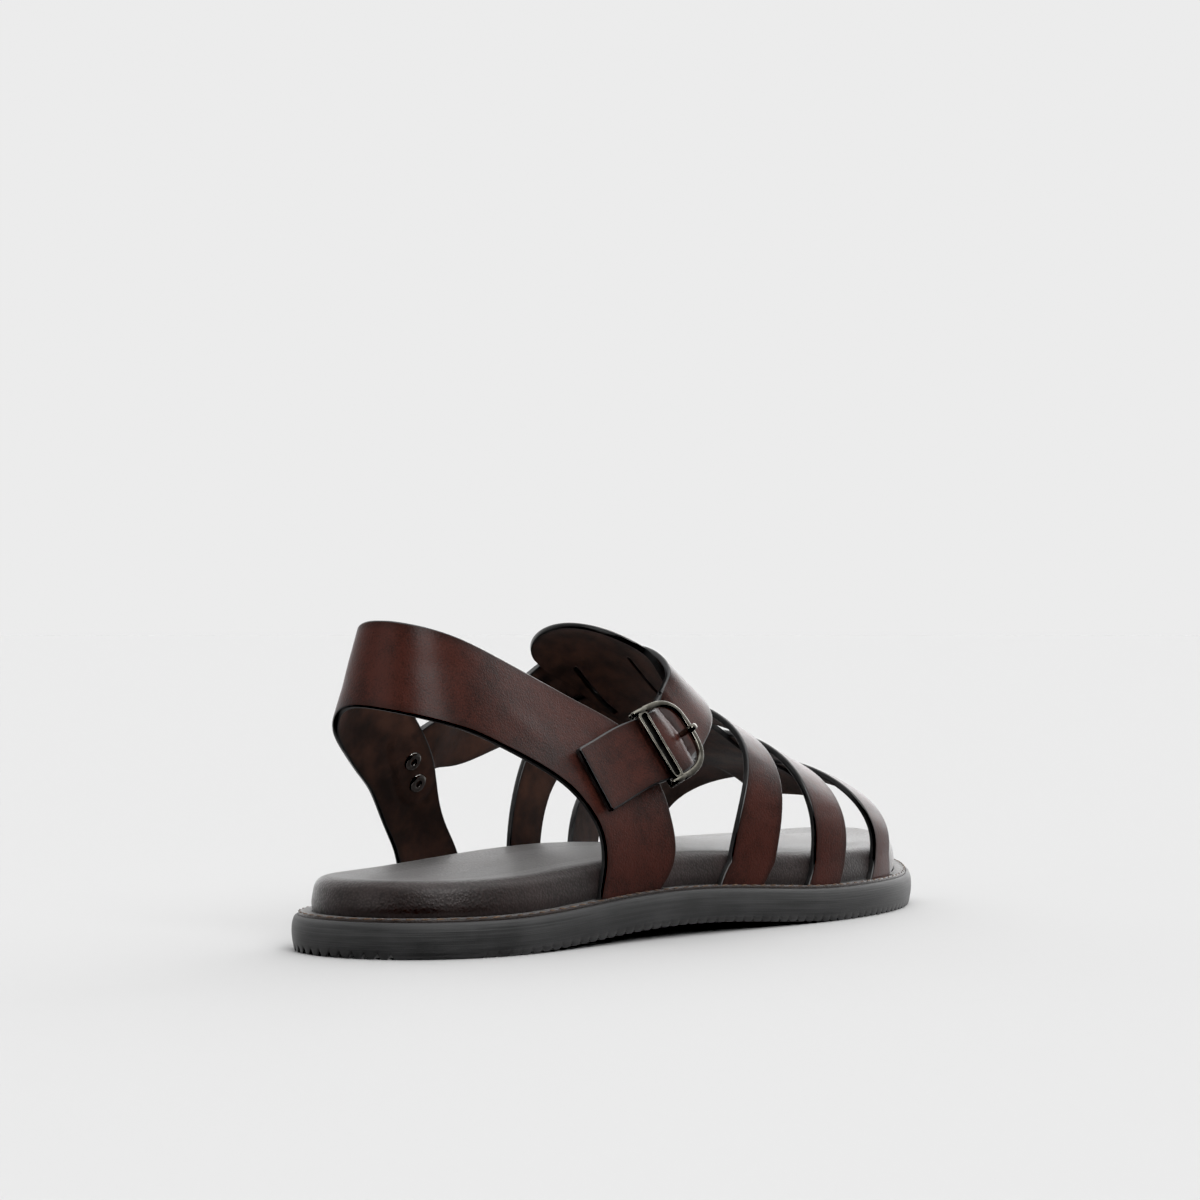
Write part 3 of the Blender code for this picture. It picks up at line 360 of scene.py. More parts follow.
@dataclass
class Last:
    """The foot form that the leather follows."""

    sole: SoleShape
    instep: float = 0.1018
    heel: float = 0.1030
    bulge: float = 0.0030
    tongue_width: float = 0.0490
    leg_share: float = 0.12
    leg_top: float = 0.86
    side_station: float = 0.30
    core_station: float = 0.25
    paddle_end: float = 0.48
    paddle_blend: float = 0.08
    step: float = 0.002

    def __post_init__(self) -> None:
        """Read the tables into curves."""
        self.crest_height = curve_of(CREST, "height")
        self.crest_side = curve_of(CREST, "side")
        self.square = {-1: curve_of(CREST, "outer"), 1: curve_of(CREST, "inner")}
        self.lean_back = curve_of(LEAN, "back", "height")
        self.lean_side = curve_of(LEAN, "side", "height")
        self.tongue_half = {-1: curve_of(TONGUE, "outer"), 1: curve_of(TONGUE, "inner")}
        self.tongue_arc = {-1: curve_of(TONGUE, "outer_arc"), 1: curve_of(TONGUE, "inner_arc")}

    def middle(self, station: float) -> float:
        """The y of the crest line at a station."""
        return float(self.crest_side(station) * self.sole.width + self.sole.shift)

    def leg_foot(self, x: float) -> float:
        """Height at which a leg starts."""
        return float(self.sole.ledge(x) + self.sole.gap)

    def arch_point(self, x: float, place: float) -> np.ndarray:
        """A point of the forefoot's skin.

        Args:
            x: the place along the sole.
            place: 0 at the outer foot of a strap to 1 at its inner foot.

        Returns:
            The point.
        """
        sole = self.sole
        side = -1 if place < 0.5 else 1
        station = sole.x_station(x)
        edge = sole.side_y(x, sole.leg_inset, side)
        foot = self.leg_foot(x)
        spring = float(sole.rise(x)) + sole.footbed_top * self.leg_top
        share = min(place, 1.0 - place)
        if share < self.leg_share:
            return np.array([x, edge, foot + (spring - foot) * share / self.leg_share])
        turn = (share - self.leg_share) / (0.5 - self.leg_share) * math.pi / 2.0
        crest = float(self.crest_height(station)) * self.instep
        middle = self.middle(station)
        power = 2.0 / float(self.square[side](station))
        out = abs(edge - middle) * max(math.cos(turn), 0.0) ** power if turn < 1.5707 else 0.0
        out += self.bulge * math.sin(2.0 * turn) * math.cos(turn)
        height = spring + (crest - spring) * math.sin(turn) ** power
        return np.array([x, middle + side * out, height])

    def heel_inset(self, run: float, height: float) -> float:
        """How far the heel piece's inner face stands in from the outline."""
        share = height / self.heel
        side = smooth_step(self.sole.x_station(self.sole.at(run)[0]), 0.0, self.side_station)
        lean = self.lean_back(share) * (1.0 - side) + self.lean_side(share) * side
        return float(self.sole.leg_inset + self.heel * lean)

    def heel_point(self, run: float, height: float) -> np.ndarray:
        """A point of the heel piece's inner face."""
        x, y = self.sole.at(run, self.heel_inset(run, height))
        return np.array([x, y, height])

    def heel_normal(self, run: float, height: float) -> np.ndarray:
        """Outward normal of the heel piece at a point."""
        step = self.step
        along = self.heel_point(run + step, height) - self.heel_point(run - step, height)
        up = self.heel_point(run, height + step) - self.heel_point(run, height - step)
        normal = np.cross(along, up)
        normal /= np.linalg.norm(normal)
        core = np.array([self.sole.station_x(self.core_station), self.sole.shift, height])
        return normal if np.dot(normal, self.heel_point(run, height) - core) > 0.0 else -normal

    def heel_skin(self, run: float, height: float, lift: float) -> np.ndarray:
        """A point lifted off the heel piece's inner face."""
        return self.heel_point(run, height) + self.heel_normal(run, height) * lift

    def heel_run(self, x: float, height: float, side: int) -> float:
        """Length along the outline of the heel piece's point at x."""
        run = self.sole.run_at(x, self.sole.leg_inset, side)
        for _ in range(6):
            run = self.sole.run_at(x, self.heel_inset(run, height), side)
        return run

    def tongue_point(self, x: float, across: float) -> np.ndarray:
        """A point of the tongue, across being -1 at its outer and +1 at its inner edge."""
        station = self.sole.x_station(x)
        side = 1 if across >= 0.0 else -1
        dy = across * float(self.tongue_half[side](station)) * self.tongue_width
        middle = self.middle(station)
        crest = float(self.crest_height(station)) * self.instep
        edge = self.sole.side_y(x, self.sole.leg_inset, side)
        spring = float(self.sole.rise(x)) + self.sole.footbed_top * self.leg_top
        power = float(self.square[side](station))
        fall = (1.0 - min(abs(dy / (edge - middle)), 0.95) ** power) ** (1.0 / power)
        round_z = spring + (crest - spring) * fall
        flat_z = crest - dy * dy / (2.0 * float(self.tongue_arc[side](station)) * self.tongue_width)
        blend = float(np.clip((station - self.paddle_end) / self.paddle_blend, 0.0, 1.0))
        return np.array([x, middle + dy, flat_z * (1.0 - blend) + round_z * blend])

    def tongue_normal(self, x: float, across: float) -> np.ndarray:
        """Normal of the tongue, away from the foot."""
        step = self.step
        along = self.tongue_point(x + step, across) - self.tongue_point(x - step, across)
        over = self.tongue_point(x, across + 0.04) - self.tongue_point(x, across - 0.04)
        normal = np.cross(along, over)
        normal /= np.linalg.norm(normal)
        return normal if normal[2] > 0.0 else -normal


FAR = 0.01  # rim value, in metres, of points that are nowhere near a cut edge


class Face(Enum):
    """Which finish a leather face takes: its place in the sheet's material slots."""

    GRAIN = 0
    PAINT = 1
    FLESH = 2


@dataclass
class Form:
    """Points, faces and what belongs to them, gathered before one mesh is made."""

    points: list[np.ndarray] = field(default_factory=list)
    faces: list[tuple[int, ...]] = field(default_factory=list)
    slots: list[int] = field(default_factory=list)
    flat: list[tuple[float, float]] = field(default_factory=list)
    rim: list[float] = field(default_factory=list)

    def add(self, points: np.ndarray, flat: np.ndarray, rim: Optional[np.ndarray] = None) -> int:
        """Add points with their flat places and rim values.

        Args:
            points: one row each.
            flat: place on the flat leather or along the side, in metres.
            rim: distance from the nearest edge, in metres; left out, far from any.

        Returns:
            The number of the first of them.
        """
        first = sum(len(block) for block in self.points)
        self.points.append(np.asarray(points, float))
        self.flat += [tuple(map(float, place)) for place in flat]
        self.rim += [float(value) for value in (np.full(len(points), FAR) if rim is None else rim)]
        return first

    def face(self, corners: Sequence[int], slot: int = 0) -> None:
        """Add one face."""
        self.faces.append(tuple(int(corner) for corner in corners))
        self.slots.append(slot)

    def quads(self, first: int, second: int, size: int, slot: int = 0, closed: bool = True) -> None:
        """Join two rows of the same size with quads.

        Args:
            first: number of the first row's first point.
            second: number of the second row's first point.
            size: points in a row.
            slot: material slot.
            closed: whether the rows are rings.
        """
        for i in range(size if closed else size - 1):
            j = (i + 1) % size
            self.face((first + i, first + j, second + j, second + i), slot)

    def join(self, starts: Sequence[int], size: int, closed: bool = False) -> None:
        """Join rings of the same size one after another.

        Args:
            starts: number of each ring's first point.
            size: points in a ring.
            closed: whether the last ring joins the first.
        """
        starts = list(starts)
        for first, second in zip(starts, starts[1:] + (starts[:1] if closed else [])):
            self.quads(first, second, size)

    def make(self, name: str, finishes: Sequence[bpy.types.Material],
             angle: float = 40.0) -> bpy.types.Object:
        """One object with its faces turned outwards.

        Args:
            name: name of the piece.
            finishes: materials in the order of the slots.
            angle: edges sharper than this many degrees are shaded sharp.

        Returns:
            The object, at the origin.
        """
        mesh = bpy.data.meshes.new(name)
        mesh.from_pydata(np.concatenate(self.points).tolist(), [], self.faces)
        mesh.polygons.foreach_set("material_index", self.slots)
        layer = mesh.uv_layers.new(name="flat")
        corners = np.empty(len(mesh.loops), int)
        mesh.loops.foreach_get("vertex_index", corners)
        layer.data.foreach_set("uv", np.array(self.flat, float)[corners].ravel())
        rim = mesh.attributes.new("rim", "FLOAT", "POINT")
        rim.data.foreach_set("value", self.rim)
        for finish in finishes:
            mesh.materials.append(finish)
        tidy_mesh(mesh)
        mesh.shade_smooth()
        mesh.set_sharp_from_angle(angle=math.radians(angle))
        thing = bpy.data.objects.new(name, mesh)
        bpy.context.collection.objects.link(thing)
        return thing


def tidy_mesh(mesh: bpy.types.Mesh) -> None:
    """Merge doubled points and turn the faces outwards."""
    form = bmesh.new()
    form.from_mesh(mesh)
    bmesh.ops.remove_doubles(form, verts=form.verts, dist=1e-6)
    bmesh.ops.recalc_face_normals(form, faces=form.faces)
    form.to_mesh(mesh)
    form.free()


def away_from(points: np.ndarray, core: np.ndarray) -> np.ndarray:
    """Unit normals of a grid of points, turned away from a core.

    Args:
        points: rows by columns by three.
        core: a point on the inner side of the sheet.

    Returns:
        One normal for each point.
    """
    down = np.gradient(points, axis=0)
    over = np.gradient(points, axis=1)
    normal = np.cross(down, over)
    normal /= np.maximum(np.linalg.norm(normal, axis=2), 1e-12)[:, :, None]
    away = np.sum(normal * (points - core))
    return normal if away > 0.0 else -normal


@dataclass
class Sheet:
    """Flat leather laid along a surface: rounded, painted edges, a grain side and a flesh side."""

    thickness: float
    core: tuple[float, float, float]
    outer_round: float = 0.00080
    inner_round: float = 0.00050
    painted: float = 0.00042
    inside: int = 13
    creases: Sequence[Crease] = ()
    ended: bool = False
    relief: Optional[Callable[[np.ndarray], np.ndarray]] = None

    EDGE_STEPS = (0.0, 0.00006, 0.00018, 0.00036, 0.00060, 0.00085, 0.0013, 0.0022)

    def shares(self, width: float) -> np.ndarray:
        """Places of the columns across the sheet, close together at its edges."""
        steps = np.array(self.EDGE_STEPS) / width
        inner = np.linspace(steps[-1], 1.0 - steps[-1], self.inside + 2)[1:-1]
        return np.concatenate([steps, inner, 1.0 - steps[::-1]])

    def build(self, form: Form, skin: Skin, samples: Sequence[float]) -> None:
        """Add the sheet to a form.

        Args:
            form: what it is added to.
            skin: gives a point of the inner face from a sample and a share across.
            samples: places along the sheet.
        """
        rows, shares, widths = [], [], []
        for sample in samples:
            line = np.array([skin(sample, share) for share in np.linspace(0.0, 1.0, 9)])
            width = float(np.linalg.norm(np.diff(line, axis=0), axis=1).sum())
            share = self.shares(width)
            rows.append([skin(sample, float(value)) for value in share])
            shares.append(share)
            widths.append(width)
        grid, share, width = np.array(rows), np.array(shares), np.array(widths)
        normal = away_from(grid, np.array(self.core))
        middle = grid[:, grid.shape[1] // 2]
        along = lengths(middle)
        across = (share - 0.5) * width[:, None]
        edge = np.minimum(share, 1.0 - share) * width[:, None]
        if self.ended:
            edge = np.minimum(edge, np.minimum(along, along[-1] - along)[:, None])
        shift = self.folds(along[:, None] + across * 0.0, across)
        if self.relief:
            shift = shift + self.relief(grid)
        grid = grid + normal * (shift * smooth_step(edge, -0.001, 0.004))[:, :, None]
        normal = away_from(grid, np.array(self.core))
        self.lay(form, grid, normal, along, across, edge)

    def folds(self, along: np.ndarray, across: np.ndarray) -> np.ndarray:
        """Height of the creases over the sheet, troughs below zero.

        Args:
            along: length of each point along the sheet.
            across: place of each point across it.

        Returns:
            The height at each point, in metres.
        """
        height = np.zeros(np.broadcast(along, across).shape)
        for crease in self.creases:
            turn = math.radians(crease.turn)
            du = along * 1000.0 - crease.along
            dv = across * 1000.0 - crease.across
            lengthways = du * math.cos(turn) + dv * math.sin(turn)
            crossways = dv * math.cos(turn) - du * math.sin(turn)
            fall = np.exp(-(lengthways / crease.length) ** 2 - (crossways / crease.width) ** 2)
            height -= fall * crease.depth / 1000.0
        return height

    def lay(self, form: Form, grid: np.ndarray, normal: np.ndarray, along: np.ndarray,
            across: np.ndarray, edge: np.ndarray) -> None:
        """Add both faces, the edges and the ends.

        Args:
            form: what they are added to.
            grid: points of the inner face.
            normal: outward normals there.
            along: length along the sheet of each row.
            across: place across the sheet of each point.
            edge: distance of each point from the nearest edge.
        """
        low = rounding(edge, self.inner_round)
        high = self.thickness - rounding(edge, self.outer_round)
        rows, columns = edge.shape
        size = 2 * columns + 2
        flat = np.stack([np.repeat(along[:, None], columns, axis=1), across], axis=-1)
        starts = []
        for i in range(rows):
            middle = (low[i, [0, -1]] + high[i, [0, -1]]) / 2.0
            inner = grid[i] + normal[i] * low[i][:, None]
            outer = grid[i] + normal[i] * high[i][:, None]
            left = grid[i, :1] + normal[i, :1] * middle[0]
            right = grid[i, -1:] + normal[i, -1:] * middle[1]
            points = np.concatenate([inner, right, outer[::-1], left])
            places = np.concatenate([flat[i], flat[i, -1:], flat[i, ::-1], flat[i, :1]])
            rim = np.concatenate([edge[i], edge[i, -1:], edge[i, ::-1], edge[i, :1]])
            starts.append(form.add(points, places, rim))
        for i in range(rows - 1):
            for k in range(size):
                j = (k + 1) % size
                a, b = k % (columns + 1), j % (columns + 1)
                near = min(edge[i, min(a, columns - 1)], edge[i + 1, min(b, columns - 1)])
                if k < columns - 1:
                    slot = Face.FLESH if near > self.painted else Face.PAINT
                elif columns < k < 2 * columns:
                    mirrored = 2 * columns - k
                    near = min(edge[i, mirrored], edge[i, mirrored - 1], edge[i + 1, mirrored])
                    slot = Face.GRAIN if near > self.painted else Face.PAINT
                else:
                    slot = Face.PAINT
                here, there = starts[i], starts[i + 1]
                form.face((here + k, here + j, there + j, there + k), slot.value)
        for start in (starts[0], starts[-1]):
            paint = Face.PAINT.value
            for k in range(columns - 1):
                back = start + size - 2 - k
                form.face((start + k, start + k + 1, back - 1, back), paint)
            form.face((start, start + size - 2, start + size - 1), paint)
            form.face((start + columns - 1, start + columns, start + columns + 1), paint)


def rounding(edge: np.ndarray, radius: float) -> np.ndarray:
    """How far a rounded face falls back near its edge.

    Args:
        edge: distance from the edge.
        radius: the rounding's radius.

    Returns:
        The fall at each distance.
    """
    near = np.clip(radius - edge, 0.0, radius)
    return radius - np.sqrt(np.maximum(radius ** 2 - near ** 2, 0.0))


def turns_of(count: int) -> np.ndarray:
    """Angles of points spread evenly round a ring."""
    return 2.0 * np.pi * np.arange(count) / count


def fill_across(form: Form, ring: np.ndarray, first: int, columns: int,
                height: Optional[Callable[[np.ndarray, np.ndarray], np.ndarray]] = None) -> None:
    """Close a ring with a grid from its inner to its outer side.

    Args:
        form: what the grid is added to.
        ring: the ring's points: heel, inner side, toe, outer side.
        first: number of the ring's first point.
        columns: points across, the ring's own two included.
        height: change of height from the points and their distances from the ring's side.
    """
    size = len(ring)
    count = size // 2
    rows = [[first] * columns]
    share = np.linspace(0.0, 1.0, columns)
    for i in range(1, count):
        inner, outer = ring[i], ring[size - i]
        line = inner + (outer - inner) * share[:, None]
        width = np.linalg.norm(outer - inner)
        side = np.minimum(share, 1.0 - share) * width
        ends = min(np.linalg.norm(inner - ring[0]), np.linalg.norm(inner - ring[count]))
        side = np.minimum(side, ends)
        if height:
            line[:, 2] += height(line, side)
        start = form.add(line[1:-1], line[1:-1, :2], side[1:-1])
        rows.append([first + i] + list(range(start, start + columns - 2)) + [first + size - i])
    rows.append([first + count] * columns)
    for before, after in zip(rows, rows[1:]):
        for k in range(columns - 1):
            corners = [before[k], before[k + 1], after[k + 1], after[k]]
            kept = [corner for n, corner in enumerate(corners) if corner not in corners[:n]]
            form.face(kept)


def tube(form: Form, path: Sequence[np.ndarray], radii: Sequence[float], sides: int = 20,
         fine: int = 0, closed: bool = False, guide: Sequence[float] = (0.0, -0.86, 0.5),
         flatten: float = 1.0, square: float = 1.0) -> None:
    """Add a round wire with domed ends.

    Args:
        form: what it is added to.
        path: points of its middle line.
        radii: one radius for each point, or a single one.
        sides: points round it.
        fine: points along it, through a smooth curve; 0 keeps the path's own.
        closed: whether it joins up.
        guide: a direction across the path, for the first ring.
        flatten: height of the section as a share of its width.
        square: 1 for a round section, less for one with flats and soft corners.
    """
    path = np.array(path, float)
    radius = np.broadcast_to(np.array(radii, float), (len(path),)).copy()
    if fine:
        run = lengths(path)
        place = np.linspace(0.0, run[-1], fine)
        path = np.column_stack([Curve(run, path[:, k])(place) for k in range(3)])
        radius = Curve(run, radius)(place)
    if not closed:
        path, radius = domed(path, radius)
    count = len(path)
    side = np.array(guide, float)
    starts = []
    for i in range(count):
        if closed:
            along = path[(i + 1) % count] - path[i - 1]
        else:
            along = path[min(i + 1, count - 1)] - path[max(i - 1, 0)]
        along /= np.linalg.norm(along)
        side = side - along * np.dot(side, along)
        side /= np.linalg.norm(side)
        other = np.cross(along, side)
        turn = turns_of(sides)
        high, wide = (np.sign(wave) * np.abs(wave) ** square
                      for wave in (np.cos(turn), np.sin(turn)))
        ring = path[i] + radius[i] * (np.outer(high, side) + flatten * np.outer(wide, other))
        flat = np.column_stack([np.full(sides, i * 0.001), turn * radius[i]])
        starts.append(form.add(ring, flat))
    form.join(starts, sides, closed)
    if not closed:
        form.face(range(starts[0], starts[0] + sides))
        form.face(range(starts[-1] + sides - 1, starts[-1] - 1, -1))


def domed(path: np.ndarray, radius: np.ndarray) -> tuple[np.ndarray, np.ndarray]:
    """Add rings that close both ends of a wire with a dome.

    Args:
        path: points of the middle line.
        radius: one radius for each point.

    Returns:
        The longer path and its radii.
    """
    turns = np.radians([22.5, 45.0, 67.5, 84.0])
    head = (path[0] - path[1]) / np.linalg.norm(path[0] - path[1])
    tail = (path[-1] - path[-2]) / np.linalg.norm(path[-1] - path[-2])
    before = [path[0] + head * radius[0] * 0.7 * math.sin(t) for t in turns[::-1]]
    after = [path[-1] + tail * radius[-1] * 0.7 * math.sin(t) for t in turns]
    longer = np.vstack([before, path, after])
    wide = np.concatenate([radius[0] * np.cos(turns[::-1]), radius, radius[-1] * np.cos(turns)])
    return longer, wide


def add_node(tree: bpy.types.NodeTree, kind: str, values: dict, **settings) -> bpy.types.Node:
    """Add a node to a tree.

    Args:
        tree: the tree.
        kind: the node's type.
        values: a number, colour or socket for each named or numbered input.
        settings: the node's own settings.

    Returns:
        The node.
    """
    node = tree.nodes.new(kind)
    for name, value in settings.items():
        setattr(node, name, value)
    for name, value in values.items():
        if isinstance(value, bpy.types.NodeSocket):
            tree.links.new(value, node.inputs[name])
        else:
            node.inputs[name].default_value = value
    return node


def plain_material(name: str) -> tuple[bpy.types.Material, bpy.types.Node]:
    """A new material with nodes, and its surface shader."""
    material = bpy.data.materials.new(name)
    material.use_nodes = True
    return material, material.node_tree.nodes["Principled BSDF"]


class Texture(NamedTuple):
    """Cloudy noise, or rounded cells, with features of about a size in metres.

    A stretched texture lies on the flat leather or along the side; the others fill space.
    """

    size: float
    detail: float = 2.0
    stretch: Optional[Colour] = None
    cells: bool = False


class Spread(NamedTuple):
    """A weighted sum of textures and the range of it that runs from one end to the other."""

    terms: dict[str, float]
    low: float
    high: float


@dataclass(frozen=True)
class Finish:
    """A finish: two colours, a roughness and a relief, all spread by a few textures."""

    name: str
    dark: Colour
    pale: Colour
    textures: dict[str, Texture]
    colouring: Spread
    roughening: Spread
    roughness: tuple[float, float]
    relief: dict[str, float]
    depth: float
    shader: dict
    rim: Optional[tuple[float, float, float]] = None

    def make(self) -> bpy.types.Material:
        """Build the node tree: colour, roughness and bump; the rim darkens a cut edge, and where a
        piece lowers its rim values to paint shade, as the instep strap does beyond the buckle's
        fold, it darkens that too.

        Returns:
            The material.
        """
        material, shader = plain_material(self.name)
        tree = material.node_tree
        for name, value in self.shader.items():
            shader.inputs[name].default_value = value
        space = tree.nodes.new("ShaderNodeTexCoord").outputs["Object"]
        flat = tree.nodes.new("ShaderNodeUVMap").outputs["UV"]
        made = {name: self.texture(tree, texture, space, flat)
                for name, texture in self.textures.items()}

        def total(terms: dict[str, float]) -> bpy.types.NodeSocket:
            """Weighted sum of textures."""
            result = 0.0
            for name, weight in terms.items():
                values = {0: made[name], 1: weight, 2: result}
                node = add_node(tree, "ShaderNodeMath", values, operation="MULTIPLY_ADD")
                result = node.outputs[0]
            return result

        def ranged(value: bpy.types.NodeSocket, *ends: float) -> bpy.types.NodeSocket:
            """A value mapped smoothly from one range to another, held at its ends."""
            values = {"Value": value}
            values.update(zip(("From Min", "From Max", "To Min", "To Max"), ends))
            node = add_node(tree, "ShaderNodeMapRange", values, interpolation_type="SMOOTHSTEP")
            return node.outputs[0]

        def blend(share: bpy.types.NodeSocket, first, second) -> bpy.types.NodeSocket:
            """A colour between two, by the mix node's colour inputs."""
            node = add_node(tree, "ShaderNodeMix", {0: share}, data_type="RGBA")
            sockets = [socket for socket in node.inputs if socket.type == "RGBA"]
            for socket, value in zip(sockets, (first, second)):
                if isinstance(value, bpy.types.NodeSocket):
                    tree.links.new(value, socket)
                else:
                    socket.default_value = (*value, 1.0)
            return next(socket for socket in node.outputs if socket.type == "RGBA")

        terms, low, high = self.colouring
        colour = blend(ranged(total(terms), low, high, 0.0, 1.0), self.dark, self.pale)
        if self.rim:
            start, end, strength = self.rim
            edge = add_node(tree, "ShaderNodeAttribute", {}, attribute_name="rim").outputs["Fac"]
            colour = blend(ranged(edge, start, end, strength, 0.0), colour, self.dark)
        terms, low, high = self.roughening
        rough = ranged(total(terms), low, high, *self.roughness)
        values = {"Height": total(self.relief), "Distance": self.depth, "Strength": 1.0}
        bump = add_node(tree, "ShaderNodeBump", values).outputs[0]
        for name, socket in (("Base Color", colour), ("Roughness", rough), ("Normal", bump)):
            tree.links.new(socket, shader.inputs[name])
        return material

    @staticmethod
    def texture(tree: bpy.types.NodeTree, texture: Texture, space: bpy.types.NodeSocket,
                flat: bpy.types.NodeSocket) -> bpy.types.NodeSocket:
        """Add one texture and return its value."""
        values = {"Vector": space, "Scale": 1.0 / texture.size}
        if texture.cells:
            values["Smoothness"] = texture.detail
            node = add_node(tree, "ShaderNodeTexVoronoi", values, feature="SMOOTH_F1")
            return node.outputs["Distance"]
        if texture.stretch:
            place = {"Vector": flat, "Scale": texture.stretch}
            values["Vector"] = add_node(tree, "ShaderNodeMapping", place).outputs[0]
        values.update({"Detail": texture.detail, "Roughness": 0.55})
        return add_node(tree, "ShaderNodeTexNoise", values).outputs[0]


def pebbled(name: str, dark: Colour, pale: Colour, pebble: float) -> Finish:
    """Thin tumbled leather with small rounded pebbles, over the footbed and the welt.

    Args:
        name: the material's name.
        dark: colour between the pebbles.
        pale: colour of the paler clouds.
        pebble: size of a pebble in metres.

    Returns:
        The finish.
    """
    return Finish(
        name, dark, pale,
        {"cloud": Texture(0.020, 3.0), "pebbles": Texture(pebble, 0.5, cells=True),
         "fine": Texture(pebble * 0.4), "folds": Texture(0.0035, 3.0)},
        Spread({"cloud": 1.0, "pebbles": -0.35, "fine": 0.2}, 0.15, 0.65),
        Spread({"pebbles": 0.8, "cloud": 0.4}, 0.2, 0.9), (0.36, 0.56),
        {"pebbles": -1.0, "fine": 0.3, "folds": 0.35}, 0.00010,
        {"Coat Weight": 0.12, "Coat Roughness": 0.35, "Sheen Weight": 0.85,
         "Sheen Roughness": 0.35})


def metal(name: str, dark: Colour, bright: Colour, roughness: tuple[float, float]) -> Finish:
    """Plated metal, dulled in soft patches.

    Args:
        name: the material's name.
        dark: colour of the dulled patches.
        bright: colour elsewhere.
        roughness: least and greatest roughness.

    Returns:
        The finish.
    """
    return Finish(
        name, dark, bright, {"cloud": Texture(0.0050, 3.0), "fine": Texture(0.0005)},
        Spread({"cloud": 1.0}, 0.35, 0.70), Spread({"cloud": 0.6, "fine": 0.4}, 0.3, 0.7),
        roughness, {"fine": 0.4, "cloud": 0.6}, 0.00001, {"Metallic": 1.0})


BURNISHED_LEATHER = Finish(
    "burnished_leather", (0.0205, 0.0076, 0.0055), (0.0740, 0.0190, 0.0125),
    {"cloud": Texture(0.034, 4.0), "mottle": Texture(0.0042, 3.0), "pores": Texture(0.000504),
     "cells": Texture(0.00072, 0.6, cells=True), "wave": Texture(0.0040)},
    Spread({"cloud": 1.25, "mottle": 0.35, "pores": 0.90}, 0.94, 1.50),
    Spread({"mottle": 0.4, "pores": 0.8}, 0.35, 0.85), (0.35, 0.50),
    {"cells": 0.60, "pores": 0.70, "wave": 0.5}, 0.00011,
    {"Coat IOR": 1.38, "Coat Weight": 0.26, "Coat Roughness": 0.30, "Specular IOR Level": 0.14,
     "Sheen Weight": 0.16, "Sheen Roughness": 0.30, "Sheen Tint": (0.95, 0.88, 0.96, 1.0)},
    rim=(0.0004, 0.0042, 0.62))
EDGE_PAINT = Finish(
    "edge_paint", (0.0095, 0.0095, 0.0100), (0.026, 0.025, 0.025),
    {"cloud": Texture(0.006, 3.0), "fine": Texture(0.0006)},
    Spread({"cloud": 1.0}, 0.42, 0.72), Spread({"cloud": 0.6, "fine": 0.4}, 0.3, 0.7), (0.30, 0.48),
    {"fine": 0.5, "cloud": 0.8}, 0.00008, {"Coat Weight": 0.45, "Coat Roughness": 0.18})
FLESH_SIDE = Finish(
    "flesh_side", (0.0330, 0.0148, 0.0096), (0.1080, 0.0440, 0.0265),
    {"cloud": Texture(0.009, 5.0), "fibre": Texture(0.00045, 3.0, (1.0, 0.35, 1.0))},
    Spread({"cloud": 1.0, "fibre": 0.35}, 0.45, 0.90), Spread({"fibre": 1.0}, 0.3, 0.7),
    (0.60, 0.78), {"fibre": 0.7, "cloud": 0.8}, 0.00012,
    {"Sheen Weight": 0.08, "Specular IOR Level": 0.30},
    rim=(0.0003, 0.0030, 0.7))
RUBBER = Finish(
    "charcoal_rubber", (0.0350, 0.0352, 0.0358), (0.0640, 0.0640, 0.0648),
    {"streaks": Texture(0.0011, 3.0, (0.035, 1.0, 1.0)),
     "lines": Texture(0.00045, 1.0, (0.004, 1.0, 1.0)),
     "cloud": Texture(0.016, 3.0), "fine": Texture(0.0004)},
    Spread({"streaks": 0.7, "cloud": 0.5}, 0.40, 0.82),
    Spread({"cloud": 0.5, "fine": 0.5}, 0.3, 0.7), (0.47, 0.62),
    {"lines": 0.9, "streaks": 0.4, "fine": 0.35}, 0.00010,
    {"Specular IOR Level": 0.40, "Sheen Weight": 0.12})
THREAD = Finish(
    "waxed_thread", (0.070, 0.036, 0.020), (0.230, 0.140, 0.080),
    {"cloud": Texture(0.005), "twist": Texture(0.00030)},
    Spread({"cloud": 0.8, "twist": 0.4}, 0.45, 0.80), Spread({"twist": 1.0}, 0.3, 0.7),
    (0.45, 0.65), {"twist": 1.0}, 0.00010, {"Sheen Weight": 0.1})
FOOTBED_COVER = pebbled("footbed_cover", (0.0180, 0.0122, 0.0112), (0.0430, 0.0285, 0.0265),
                        0.00085)
WELT_LEATHER = pebbled("welt_leather", (0.0120, 0.0072, 0.0058), (0.0300, 0.0170, 0.0130), 0.0006)
GUNMETAL = metal("gunmetal", (0.110, 0.104, 0.086), (0.240, 0.230, 0.198), (0.12, 0.21))
# Painted shade: near-black, rough metal for the floor inside the keeper frame, standing in for the
# shaded groove between its bars.
GROOVE_SHADE_METAL = metal("groove_shade_metal", (0.008, 0.008, 0.008), (0.030, 0.029, 0.026), (0.45, 0.60))
RIVET_METAL = metal("rivet_metal", (0.36, 0.35, 0.33), (0.62, 0.60, 0.57), (0.12, 0.21))


def keep_result(thing: bpy.types.Object, step: bpy.types.Modifier) -> None:
    """Give an object the mesh that a modifier makes, and take the modifier off."""
    bpy.context.view_layer.update()
    graph = bpy.context.evaluated_depsgraph_get()
    made = bpy.data.meshes.new_from_object(thing.evaluated_get(graph))
    thing.modifiers.remove(step)
    thing.data = made


def settle(piece: bpy.types.Object, slot: str, *nodes: str) -> bpy.types.Object:
    """Make a piece ride on the sandal and let it stand for CAD nodes.

    Args:
        piece: the finished piece.
        slot: not used.
        nodes: CAD nodes that it stands for.

    Returns:
        The piece.
    """
    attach(piece, "root")
    if nodes:
        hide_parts(*nodes)
    LOG.info("%s: %d faces", piece.name, len(piece.data.polygons))
    return piece


